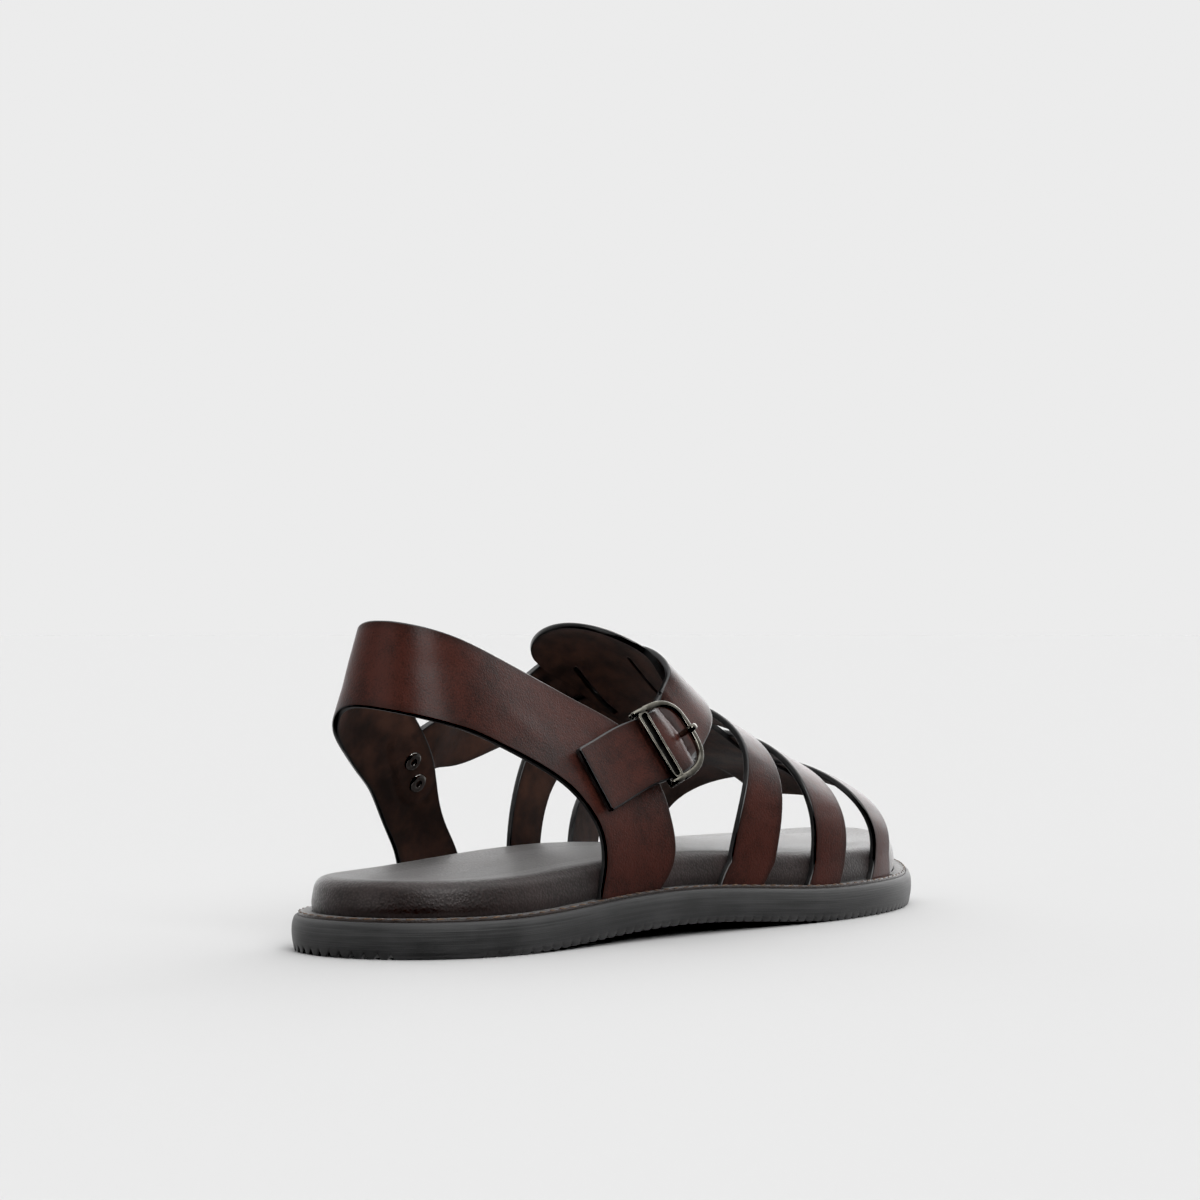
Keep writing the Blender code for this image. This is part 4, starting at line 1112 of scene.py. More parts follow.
def profile(rows: Sequence[Wall], count: int) -> list[tuple[float, float]]:
    """A smooth side profile through a few rows, as height and inset shares."""
    path = np.array(rows, float)
    run = lengths(path)
    place = np.linspace(0.0, run[-1], count)
    return list(zip(Curve(run, path[:, 0])(place), Curve(run, path[:, 1])(place)))


@dataclass
class RubberSole:
    """Rubber sole with a toothed tread edge, bowed side, rounded lip and sunk ledge."""

    sole: SoleShape
    tooth_pitch: float = 0.0043
    tooth_depth: float = 0.0018
    tooth_run: float = 0.0080
    tooth_top: float = 0.24
    ledge_run: float = 0.006
    toe_share: float = 0.50
    smooth: tuple[float, float] = (0.0260, 0.0520)
    welt_inset: float = 0.0021
    teeth: tuple[float, ...] = (0.0, 0.0, 0.0, 0.0, 0.05, 0.55, 1.0, 0.50)
    wall: tuple[Wall, ...] = (
        Wall(0.00, 0.07), Wall(0.28, 0.015), Wall(0.72, 0.00), Wall(0.90, 0.045),
        Wall(0.975, 0.100), Wall(1.00, 0.165))

    def lifts(self, runs: np.ndarray) -> np.ndarray:
        """How far the tread edge is cut up at each point of the ring."""
        share = np.tile(self.teeth, len(runs) // len(self.teeth))
        plain = (-runs > self.smooth[0]) & (-runs < self.smooth[1])
        low = np.where(np.abs(runs) > self.smooth[1], self.toe_share, 1.0)
        return np.where(plain, 0.0, share * self.tooth_depth * low)

    def build(self, finish: bpy.types.Material) -> bpy.types.Object:
        """Build and dress the rubber.

        Args:
            finish: its material.

        Returns:
            The piece.
        """
        sole, form = self.sole, Form()
        count = int(round((sole.run[-1] - sole.run[0]) / self.tooth_pitch / 2.0))
        runs = sole.ring_runs(count * len(self.teeth))
        lift = self.lifts(runs)
        size = len(runs)
        rings, heights = [], []
        foot = self.wall[0].inset * sole.rubber
        for share in (1.0, 0.62, 0.30, 0.06):
            rings.append((foot + share * self.tooth_run, 0.0, lift * (1.0 - share)))
            heights.append(-share * self.tooth_run)
        for height, inset in profile(self.wall, 26):
            rise = height * sole.rubber + lift * np.clip(1.0 - height / self.tooth_top, 0.0, 1.0)
            rings.append((inset * sole.rubber, 0.0, rise))
            heights.append(height * sole.rubber)
        lip = self.welt_inset - sole.gap
        for inset, drop in ((lip - 0.00025, 0.00002), (lip, 0.00025), (lip, sole.ledge_drop),
                            (self.ledge_run, sole.ledge_drop)):
            rings.append((inset, sole.rubber - drop, 0.0))
            heights.append(sole.rubber + inset)
        starts = []
        for (inset, base, rise), height in zip(rings, heights):
            place = sole.at(runs, inset)
            z = sole.rise(place[:, 0]) + base + rise
            points = np.column_stack([place, z])
            starts.append(form.add(points, np.column_stack([runs, np.full(size, height)])))
        form.join(starts, size)
        for start in (0, -1):
            fill_across(form, form.points[start], starts[start], 14)
        return settle(form.make("rubber_sole", [finish], 50.0), "rubber", "outsole")


@dataclass
class Footbed:
    """Cork footbed wrapped in thin leather, its shoulder rounded and its top a little cupped."""

    sole: SoleShape
    wall: tuple[Wall, ...] = (
        Wall(0.00, 0.08), Wall(0.14, 0.00), Wall(0.62, 0.01), Wall(0.84, 0.08),
        Wall(0.96, 0.22), Wall(1.00, 0.48))
    brim_rows: int = 9
    brim_drop: float = 0.055
    brim_run: float = 0.82
    hollow_blend: float = 0.024
    hollows: tuple[Hollow, ...] = (Hollow(-0.095, 0.030, 0.0007), Hollow(0.055, 0.034, 0.0004))
    creases: tuple[Crease, ...] = (
        Crease(-86.0, -28.5, 8.0, 1.7, 0.16, 4.0), Crease(-72.0, -29.0, 7.0, 1.5, -0.12, -3.0),
        Crease(-14.0, -30.0, 9.0, 1.6, 0.12, 5.0),
    )

    def build(self, finish: bpy.types.Material) -> bpy.types.Object:
        """Build and dress the footbed.

        Args:
            finish: its material.

        Returns:
            The piece.
        """
        sole, form = self.sole, Form()
        thick = sole.footbed_top - (sole.rubber - sole.ledge_drop + sole.gap)
        runs = sole.ring_runs(330)
        size = len(runs)
        folds = Sheet(thick, (0.0, 0.0, 0.0), creases=self.creases)
        rows = profile(self.wall, 24)
        for k in range(1, self.brim_rows + 1):
            share = k / self.brim_rows
            rows.append((1.0 - self.brim_drop * share, self.wall[-1].inset + self.brim_run * share))
        starts = []
        for height, inset in rows:
            place = sole.at(runs, sole.footbed_inset + inset * thick)
            z = sole.ledge(place[:, 0]) + sole.gap + height * thick
            points = np.column_stack([place, z])
            shift = folds.folds(points[:, 0], points[:, 1]) * smooth_step(height, 0.55, 0.95)
            outward = np.column_stack([sole.normals(runs) * 0.35, np.full(size, 1.0)])
            points += outward * shift[:, None]
            starts.append(form.add(points, np.column_stack([runs, points[:, 2]])))
        form.join(starts, size)
        fill_across(form, form.points[0], starts[0], 6)
        fill_across(form, form.points[len(rows) - 1], starts[-1], 48, self.top_relief)
        return settle(form.make("footbed_cover", [finish], 60.0), "footbed_leather", "footbed")

    def top_relief(self, line: np.ndarray, side: np.ndarray) -> np.ndarray:
        """Shallow hollows under the heel and the ball, in the middle of the top.

        Args:
            line: points across the top.
            side: their distances from the side.

        Returns:
            Change of height of each point.
        """
        inner = smooth_step(side, 0.0, self.hollow_blend)
        depth = 0.0
        for hollow in self.hollows:
            depth = depth + hollow.depth * np.exp(-((line[:, 0] - hollow.x) / hollow.length) ** 2)
        return -inner * depth


@dataclass
class WeltStrip:
    """Flat leather welt on the ledge, set back at the legs, with a stitched outer bead."""

    sole: SoleShape
    thickness: float = 0.0015
    inset: float = 0.0021
    leather: float = 0.0022
    pitch: float = 0.0046
    stitch_length: float = 0.0033
    stitch_radius: float = 0.00028
    blend: float = 0.0006
    seed: int = 4

    def inner_insets(self, runs: np.ndarray) -> np.ndarray:
        """Inset of the welt's inner edge, set back wherever a leg passes down."""
        sole = self.sole
        spans = []
        for rear, front in CROSS_STRAPS:
            for side, name in ((-1, "outer_base"), (1, "inner_base")):
                spans.append((side, getattr(rear, name), getattr(front, name)))
        for row in (OUTER_RIBBON[0], INNER_RIBBON[-1]):
            spans.append((row.side, row.low_station, row.top_station))
        relief = sole.leg_inset - self.leather - 3.0 * sole.gap
        inset = np.full(len(runs), sole.leg_inset)
        margin = 5.0 * sole.gap
        for side, low, high in spans:
            first, last = sorted(sole.run_at(float(sole.station_x(station)), sole.leg_inset, side)
                                 for station in (low, high))
            inside = smooth_step(runs, first - margin - self.blend, first - margin)
            inside = inside * (1.0 - smooth_step(runs, last + margin, last + margin + self.blend))
            inset = np.minimum(inset, sole.leg_inset + (relief - sole.leg_inset) * inside)
        return inset

    def build(self, leather: bpy.types.Material,
              thread: bpy.types.Material) -> list[bpy.types.Object]:
        """Build and dress the welt and its stitches.

        Args:
            leather: the welt's material.
            thread: the stitches' material.

        Returns:
            The two pieces.
        """
        sole, form = self.sole, Form()
        runs = sole.ring_runs(560)
        size = len(runs)
        inner = self.inner_insets(runs)
        top = self.thickness
        section = [(0.0, 0.0), (-0.00008, 0.40), (0.00002, 0.72), (0.00018, 0.90), (0.00040, 0.985),
                   (0.00065, 0.97), (0.00080, 0.94)]
        starts = [self.ring(form, runs, self.inset + offset, share * top)
                  for offset, share in section]
        for share, height in ((0.45, 0.98), (0.9, 0.98), (1.0, 0.90), (1.0, 0.0)):
            low = self.inset + 0.0009
            starts.append(self.ring(form, runs, low + (inner - low) * share, height * top))
        form.join(starts, size, closed=True)
        welt = settle(form.make("welt_strip", [leather], 45.0), "welt_leather", "welt")
        return [welt, self.stitches(runs, thread)]

    def ring(self, form: Form, runs: np.ndarray, inset, height: float) -> int:
        """Add one ring of the welt's section and return its first point's number."""
        place = self.sole.at(runs, inset)
        z = self.sole.ledge(place[:, 0]) + self.sole.gap + height
        flat = np.column_stack([runs, np.broadcast_to(inset, len(runs)) + height])
        return form.add(np.column_stack([place, z]), flat)

    def stitches(self, runs: np.ndarray, thread: bpy.types.Material) -> bpy.types.Object:
        """Lay one stitch after another along the bead.

        Args:
            runs: lengths along the outline, for the seam's path.
            thread: the stitches' material.

        Returns:
            The piece.
        """
        place = self.sole.at(runs, self.inset + 0.00034)
        z = self.sole.ledge(place[:, 0]) + self.sole.gap + self.thickness * 0.93
        points = np.column_stack([place, z])
        mesh = bpy.data.meshes.new("welt_stitches")
        size = len(points)
        mesh.from_pydata(points.tolist(), [(i, (i + 1) % size) for i in range(size)], [])
        thing = bpy.data.objects.new("welt_stitches", mesh)
        bpy.context.collection.objects.link(thing)
        StitchTree(thread).apply(thing, {"Pitch": self.pitch, "Length": self.stitch_length,
                                         "Radius": self.stitch_radius, "Seed": self.seed})
        return settle(thing, "welt_leather")


class StitchTree:
    """Geometry Nodes that lay stitches along a path: pitch, length, radius and seed are inputs."""

    def __init__(self, thread: bpy.types.Material) -> None:
        """Build the tree.

        Args:
            thread: material of the stitches.
        """
        self.tree = bpy.data.node_groups.new("seam", "GeometryNodeTree")
        face = self.tree.interface
        face.new_socket("Path", in_out="INPUT", socket_type="NodeSocketGeometry")
        self.inputs = {}
        kinds = {"Pitch": "Float", "Length": "Float", "Radius": "Float", "Seed": "Int"}
        for name, kind in kinds.items():
            socket = face.new_socket(name, in_out="INPUT", socket_type="NodeSocket" + kind)
            self.inputs[name] = socket.identifier
        face.new_socket("Stitches", in_out="OUTPUT", socket_type="NodeSocketGeometry")
        given = self.tree.nodes.new("NodeGroupInput").outputs
        curve = self.node("GeometryNodeMeshToCurve", {"Mesh": given["Path"]})
        spacing = {"Curve": curve, "Length": given["Pitch"]}
        spaced = self.node("GeometryNodeResampleCurve", spacing, mode="LENGTH")
        half = self.node("ShaderNodeMath", {0: given["Length"], 1: 0.5}, operation="MULTIPLY")
        scale = self.node("ShaderNodeCombineXYZ", {0: half, 1: given["Radius"], 2: given["Radius"]})
        ball = self.node("GeometryNodeMeshUVSphere", {"Segments": 8, "Rings": 7, "Radius": 1.0})
        quarter = (0.0, math.pi / 2.0, 0.0)
        turned = self.node("GeometryNodeTransform", {"Geometry": ball, "Rotation": quarter})
        strand = self.node("GeometryNodeTransform", {"Geometry": turned, "Scale": scale})
        smooth = self.node("GeometryNodeSetShadeSmooth", {"Geometry": strand})
        tangent = self.node("GeometryNodeInputTangent", {})
        aligned = self.node("FunctionNodeAlignRotationToVector", {"Vector": tangent}, axis="X")
        limits = {"Min": (-0.10, -0.03, 0.10), "Max": (0.10, 0.03, 0.24), "Seed": given["Seed"]}
        lean = self.node("FunctionNodeRandomValue", limits, data_type="FLOAT_VECTOR")
        tilt = self.node("FunctionNodeEulerToRotation", {0: lean})
        leaning = {"Rotation": aligned, "Rotate By": tilt}
        both = self.node("FunctionNodeRotateRotation", leaning, rotation_space="LOCAL")
        laying = {"Points": spaced, "Instance": smooth, "Rotation": both}
        laid = self.node("GeometryNodeInstanceOnPoints", laying)
        real = self.node("GeometryNodeRealizeInstances", {"Geometry": laid})
        dressed = self.node("GeometryNodeSetMaterial", {"Geometry": real, "Material": thread})
        out = self.tree.nodes.new("NodeGroupOutput")
        self.tree.links.new(dressed, out.inputs[0])

    def node(self, kind: str, values: dict, **settings) -> bpy.types.NodeSocket:
        """Add a node with its settings and inputs, and return its first output."""
        return add_node(self.tree, kind, values, **settings).outputs[0]

    def apply(self, thing: bpy.types.Object, values: dict[str, float]) -> None:
        """Run the tree on an object's mesh and keep the plain result.

        Args:
            thing: object whose mesh is the path.
            values: a value for each named input.
        """
        seam = thing.modifiers.new("seam", "NODES")
        seam.node_group = self.tree
        for name, value in values.items():
            seam[self.inputs[name]] = value
        keep_result(thing, seam)


@dataclass
class FrontStraps:
    """Three cross straps over the tongue strip."""

    last: Last
    leather: float = 0.0022
    tongue_leather: float = 0.0020
    tongue_lap: float = 0.0009
    back: float = 0.395
    front: float = 0.842
    bow: float = 0.038
    slot_back: float = 0.472
    slot_front: float = 0.550
    slot_spacing: float = 0.0235
    slot_shift: float = 0.0030
    slot_width: float = 0.0015
    creases: tuple[tuple[Crease, ...], ...] = (
        (Crease(28.0, 3.0, 6.0, 2.2, 0.22, 70.0), Crease(46.0, -4.0, 7.0, 2.5, -0.18, 80.0),
         Crease(96.0, 2.0, 7.0, 2.4, 0.2, 100.0)),
        (Crease(26.0, -2.0, 6.0, 2.0, 0.18, 80.0), Crease(70.0, 2.0, 8.0, 2.6, 0.16, 95.0)),
        (Crease(24.0, 1.0, 6.0, 2.0, 0.16, 85.0), Crease(58.0, 0.0, 8.0, 2.5, -0.14, 90.0)),
    )

    def strap(self, form: Form, rear: Edge, front: Edge, creases: Sequence[Crease]) -> None:
        """Add one cross strap.

        Args:
            form: what it is added to.
            rear: its rear edge.
            front: its front edge.
            creases: its folds.
        """
        sole = self.last.sole
        rear_at = Curve(EDGE_PLACES, [float(sole.station_x(s)) for s in rear])
        front_at = Curve(EDGE_PLACES, [float(sole.station_x(s)) for s in front])

        def skin(place: float, share: float) -> np.ndarray:
            """A point of the strap's inner face."""
            x = rear_at(place) * (1.0 - share) + front_at(place) * share
            return self.last.arch_point(float(x), place)

        leg = self.last.leg_share
        rising = list(np.linspace(0.0, leg * 0.86, 8))
        rising += list(np.linspace(leg * 0.95, leg * 1.25, 8))
        rising += list(np.linspace(leg * 1.35, 0.5, 58))
        samples = rising + [1.0 - place for place in reversed(rising[:-1])]
        core = (float(rear_at(0.5)), sole.shift, 0.02)
        Sheet(self.leather, core, creases=creases, inside=11).build(form, skin, samples)

    def build(self, finishes: Sequence[bpy.types.Material]) -> list[bpy.types.Object]:
        """Build and dress the straps and the tongue.

        Args:
            finishes: grain, paint and flesh materials.

        Returns:
            The pieces.
        """
        form = Form()
        for (rear, front), creases in zip(CROSS_STRAPS, self.creases):
            self.strap(form, rear, front, creases)
        straps = settle(form.make("cross_straps", finishes), "strap_leather", "upper")
        return [straps, self.tongue(finishes)]

    def tongue(self, finishes: Sequence[bpy.types.Material]) -> bpy.types.Object:
        """Tongue strip with a round paddle and two long slots.

        Args:
            finishes: grain, paint and flesh materials.

        Returns:
            The piece.
        """
        sole, form = self.last.sole, Form()
        turns = np.linspace(-math.pi / 2.0, math.pi / 2.0, 61)
        near_end = [0.0, 0.0009, 0.0025, 0.005, 0.009]
        shares = np.concatenate([near_end, np.linspace(0.014, 1.0, 96)])
        grid = np.zeros((len(shares), len(turns), 3))
        normal = np.zeros_like(grid)
        for i, share in enumerate(shares):
            for j, turn in enumerate(turns):
                back = self.back + self.bow * (1.0 - math.cos(turn))
                x = float(sole.station_x(back + (self.front - back) * share))
                grid[i, j] = self.last.tongue_point(x, math.sin(turn))
                normal[i, j] = self.last.tongue_normal(x, math.sin(turn))
        grid += normal * (self.tongue_lap - self.tongue_leather)
        along = lengths(grid[:, len(turns) // 2])
        steps = np.linalg.norm(np.diff(grid, axis=1), axis=2)
        across = np.concatenate([np.zeros((len(shares), 1)), np.cumsum(steps, axis=1)], axis=1)
        width = across[:, -1:]
        edge = np.minimum(np.minimum(across, width - across), along[:, None])
        sheet = Sheet(self.tongue_leather, (0.0, 0.0, 0.0), outer_round=0.0006, inner_round=0.0005)
        sheet.lay(form, grid, normal, along, across - width / 2.0, edge)
        tongue = form.make("tongue", finishes)
        for side in (-1, 1):
            self.cut(tongue, self.slot_cutter(side, finishes[1]))
        return settle(tongue, "strap_leather", "upper")

    def slot_cutter(self, side: int, paint: bpy.types.Material) -> bpy.types.Object:
        """Cutter for one long slot with round ends."""
        sole, form = self.last.sole, Form()
        radius = self.slot_width / 2.0
        outline = []
        for station, start in ((self.slot_back, 90.0), (self.slot_front, -90.0)):
            x = float(sole.station_x(station))
            y = self.last.middle(station) + self.slot_shift + side * self.slot_spacing / 2.0
            for k in range(13):
                turn = math.radians(start + 180.0 * k / 12.0)
                outline.append((x + radius * math.cos(turn), y + radius * math.sin(turn)))
        flat = np.array(outline)
        size = len(flat)
        starts = [form.add(np.column_stack([flat, np.full(size, z)]), flat, np.zeros(size))
                  for z in (0.05, 0.12)]
        form.join(starts, size)
        for start in starts:
            form.face(range(start, start + size))
        return form.make("slot_cutter", [paint])

    @staticmethod
    def cut(thing: bpy.types.Object, cutter: bpy.types.Object) -> None:
        """Cut one object out of another, which is used up."""
        step = thing.modifiers.new("cut", "BOOLEAN")
        step.operation, step.solver, step.object = "DIFFERENCE", "EXACT", cutter
        step.material_mode = "TRANSFER"
        keep_result(thing, step)
        bpy.data.objects.remove(cutter)


@dataclass
class HeelPiece:
    """Outer quarter, heel strap and inner quarter in one ribbon."""

    last: Last
    leather: float = 0.0022
    creases: tuple[Crease, ...] = (
        Crease(52.0, 4.0, 10.0, 3.0, 0.25, 40.0), Crease(80.0, -5.0, 12.0, 4.0, -0.25, 15.0),
        Crease(118.0, 3.0, 14.0, 4.0, 0.22, -10.0), Crease(160.0, -3.0, 12.0, 4.0, 0.3, 10.0),
        Crease(196.0, 2.0, 9.0, 3.0, -0.2, 40.0), Crease(30.0, -6.0, 9.0, 2.6, 0.22, 75.0),
    )

    def build(self, rivets: "RingRivets",
              finishes: Sequence[bpy.types.Material]) -> bpy.types.Object:
        """Build and dress the ribbon.

        Args:
            rivets: the rivets, round which the leather is pressed in.
            finishes: grain, paint and flesh materials.

        Returns:
            The piece.
        """
        last, sole = self.last, self.last.sole
        edges: list[list[float]] = [[], [], [], []]
        table = OUTER_RIBBON + BACK_RIBBON + INNER_RIBBON
        for row in table:
            ends = ((row.low_station, row.low_height), (row.top_station, row.top_height))
            for k, (station, share) in enumerate(ends):
                if station is None:
                    edges[2 * k].append(0.0)
                    edges[2 * k + 1].append(share * last.heel)
                    continue
                x = float(sole.station_x(station))
                height = last.leg_foot(x) if share is None else share * last.heel
                edges[2 * k].append(last.heel_run(x, height, row.side))
                edges[2 * k + 1].append(height)
        low_run, low_z, top_run, top_z = (Curve(np.arange(len(table)), edge) for edge in edges)
        end = len(table) - 1.0

        def skin(place: float, share: float) -> np.ndarray:
            """A point of the ribbon's inner face."""
            run = low_run(place) * (1.0 - share) + top_run(place) * share
            height = low_z(place) * (1.0 - share) + top_z(place) * share
            point = last.heel_point(float(run), float(height))
            if place in (0.0, end):
                point[2] = last.leg_foot(point[0])
            return point

        samples = [0.0] + list(np.linspace(0.25, end - 0.25, 230)) + [end]
        form = Form()
        core = (float(sole.station_x(last.core_station)), sole.shift, 0.045)
        sheet = Sheet(self.leather, core, creases=self.creases, inside=19, relief=rivets.pressed)
        sheet.build(form, skin, samples)
        return settle(form.make("heel_quarters", finishes), "strap_leather", "heel_strap")


class Axes:
    """A place with three unit axes: along, down and out."""

    def __init__(self, origin: np.ndarray, along: Sequence[float], out: np.ndarray) -> None:
        """Square the axes up.

        Args:
            origin: the place.
            along: roughly the direction along.
            out: the outward direction.
        """
        self.origin = np.array(origin, float)
        self.out = np.array(out, float) / np.linalg.norm(out)
        flat = np.array(along, float) - np.dot(along, self.out) * self.out
        self.along = flat / np.linalg.norm(flat)
        self.down = np.cross(self.along, self.out)
        if self.down[2] > 0.0:
            self.down = -self.down

    def at(self, along: float, down: float, out: float) -> np.ndarray:
        """A point given in these axes."""
        return self.origin + self.along * along + self.down * down + self.out * out

    def inside(self, points: np.ndarray) -> tuple[np.ndarray, np.ndarray, np.ndarray]:
        """Places of points along, down and out in these axes."""
        shift = points - self.origin
        return shift @ self.along, shift @ self.down, shift @ self.out


@dataclass
class RingRivets:
    """Two ring rivets through the inner quarter and the instep strap."""

    last: Last
    places: tuple[tuple[float, float], ...] = ((0.2204, 0.555), (0.2390, 0.4825))
    leather: float = 0.0022
    radius: float = 0.0033
    bore: float = 0.0011
    flange: float = 0.0006
    press_radius: float = 0.0084
    press_depth: float = 0.00042
    press_sink: float = 0.6
    press_reach: float = 0.9
    press_rim: float = 0.0010
    press_blend: float = 0.002
    dimple_depth: float = 0.00035
    dimple_radius: float = 0.0042

    def axes(self) -> list[Axes]:
        """One set of axes for each rivet."""
        made = []
        for station, share in self.places:
            height = share * self.last.heel
            run = self.last.heel_run(float(self.last.sole.station_x(station)), height, 1)
            out = self.last.heel_normal(run, height)
            made.append(Axes(self.last.heel_point(run, height), (1.0, 0.0, 0.0), out))
        return made

    def pressed(self, points: np.ndarray) -> np.ndarray:
        """The strap's round end shows through the quarter, with a dimple at each rivet.

        Args:
            points: a grid of points of the quarter.

        Returns:
            Height of the relief at each point.
        """
        first, second = (axes.origin for axes in self.axes())
        line = first - second
        far = first + line * self.press_reach
        length = np.linalg.norm(far - second)
        unit = (far - second) / length
        share = np.clip((points - second) @ unit, 0.0, length)
        distance = np.linalg.norm(points - second - share[..., None] * unit, axis=-1)
        radius = self.press_radius
        rim = np.exp(-((distance - radius) / self.press_rim) ** 2)
        plateau = 1.0 - smooth_step(distance, radius - self.press_blend, radius)
        height = self.press_depth * rim - self.press_sink * self.press_depth * plateau
        for origin in (first, second):
            near = np.linalg.norm(points - origin, axis=-1)
            height = height + self.dimple_depth * np.exp(-(near / self.dimple_radius) ** 2)
        return height * smooth_step(-points[..., 2], -0.072, -0.060)

    def build(self, metal: bpy.types.Material) -> bpy.types.Object:
        """Build and dress both rivets.

        Args:
            metal: their material.

        Returns:
            The piece.
        """
        form = Form()
        gap, sides = self.last.sole.gap, 40
        through = 2.0 * self.leather + gap
        r, b, f = self.radius, self.bore, self.flange
        half = [(b, 0.02), (b * 1.02, 0.55), (b * 1.12, 0.86), (b * 1.35, 1.0), (r * 0.62, 1.04),
                (r * 0.80, 0.95), (r * 0.92, 0.75), (r * 0.985, 0.45), (r, 0.15), (r * 0.985, 0.0)]
        rows = [(radius, -gap - f * height) for radius, height in half]
        rows += [(r * 0.60, -gap), (r * 0.60, through + gap)]
        rows += [(radius, through + gap + f * height) for radius, height in reversed(half)]
        turn = turns_of(sides)
        for axes in self.axes():
            starts = []
            for radius, height in rows:
                ring = [axes.at(radius * math.cos(t), radius * math.sin(t), height) for t in turn]
                flat = np.column_stack([turn * radius, np.full(sides, height)])
                starts.append(form.add(ring, flat))
            form.join(starts, sides, closed=True)
        return settle(form.make("ring_rivets", [metal]), "gunmetal", "rivet_upper", "rivet_lower")


class OnInner(NamedTuple):
    """Instep strap's middle line on the inner quarter; the lift is in gaps."""

    station: float
    height: float
    lift: float


class Free(NamedTuple):
    """Instep strap's middle line in the air, with its outward direction."""

    station: float
    side: float
    height: float
    forward: float
    sideways: float
    upward: float


class OnTongue(NamedTuple):
    """Instep strap's middle line over the tongue."""

    station: float
    across: float
    lift: float


class InBuckle(NamedTuple):
    """Instep strap's middle line in the buckle, as shares of its depth, the width and the rise."""

    along: float
    down: float
    rise: float


class OnOuter(NamedTuple):
    """Instep strap's middle line on the outer quarter, behind the buckle."""

    back: float
    below: float
    lift: float


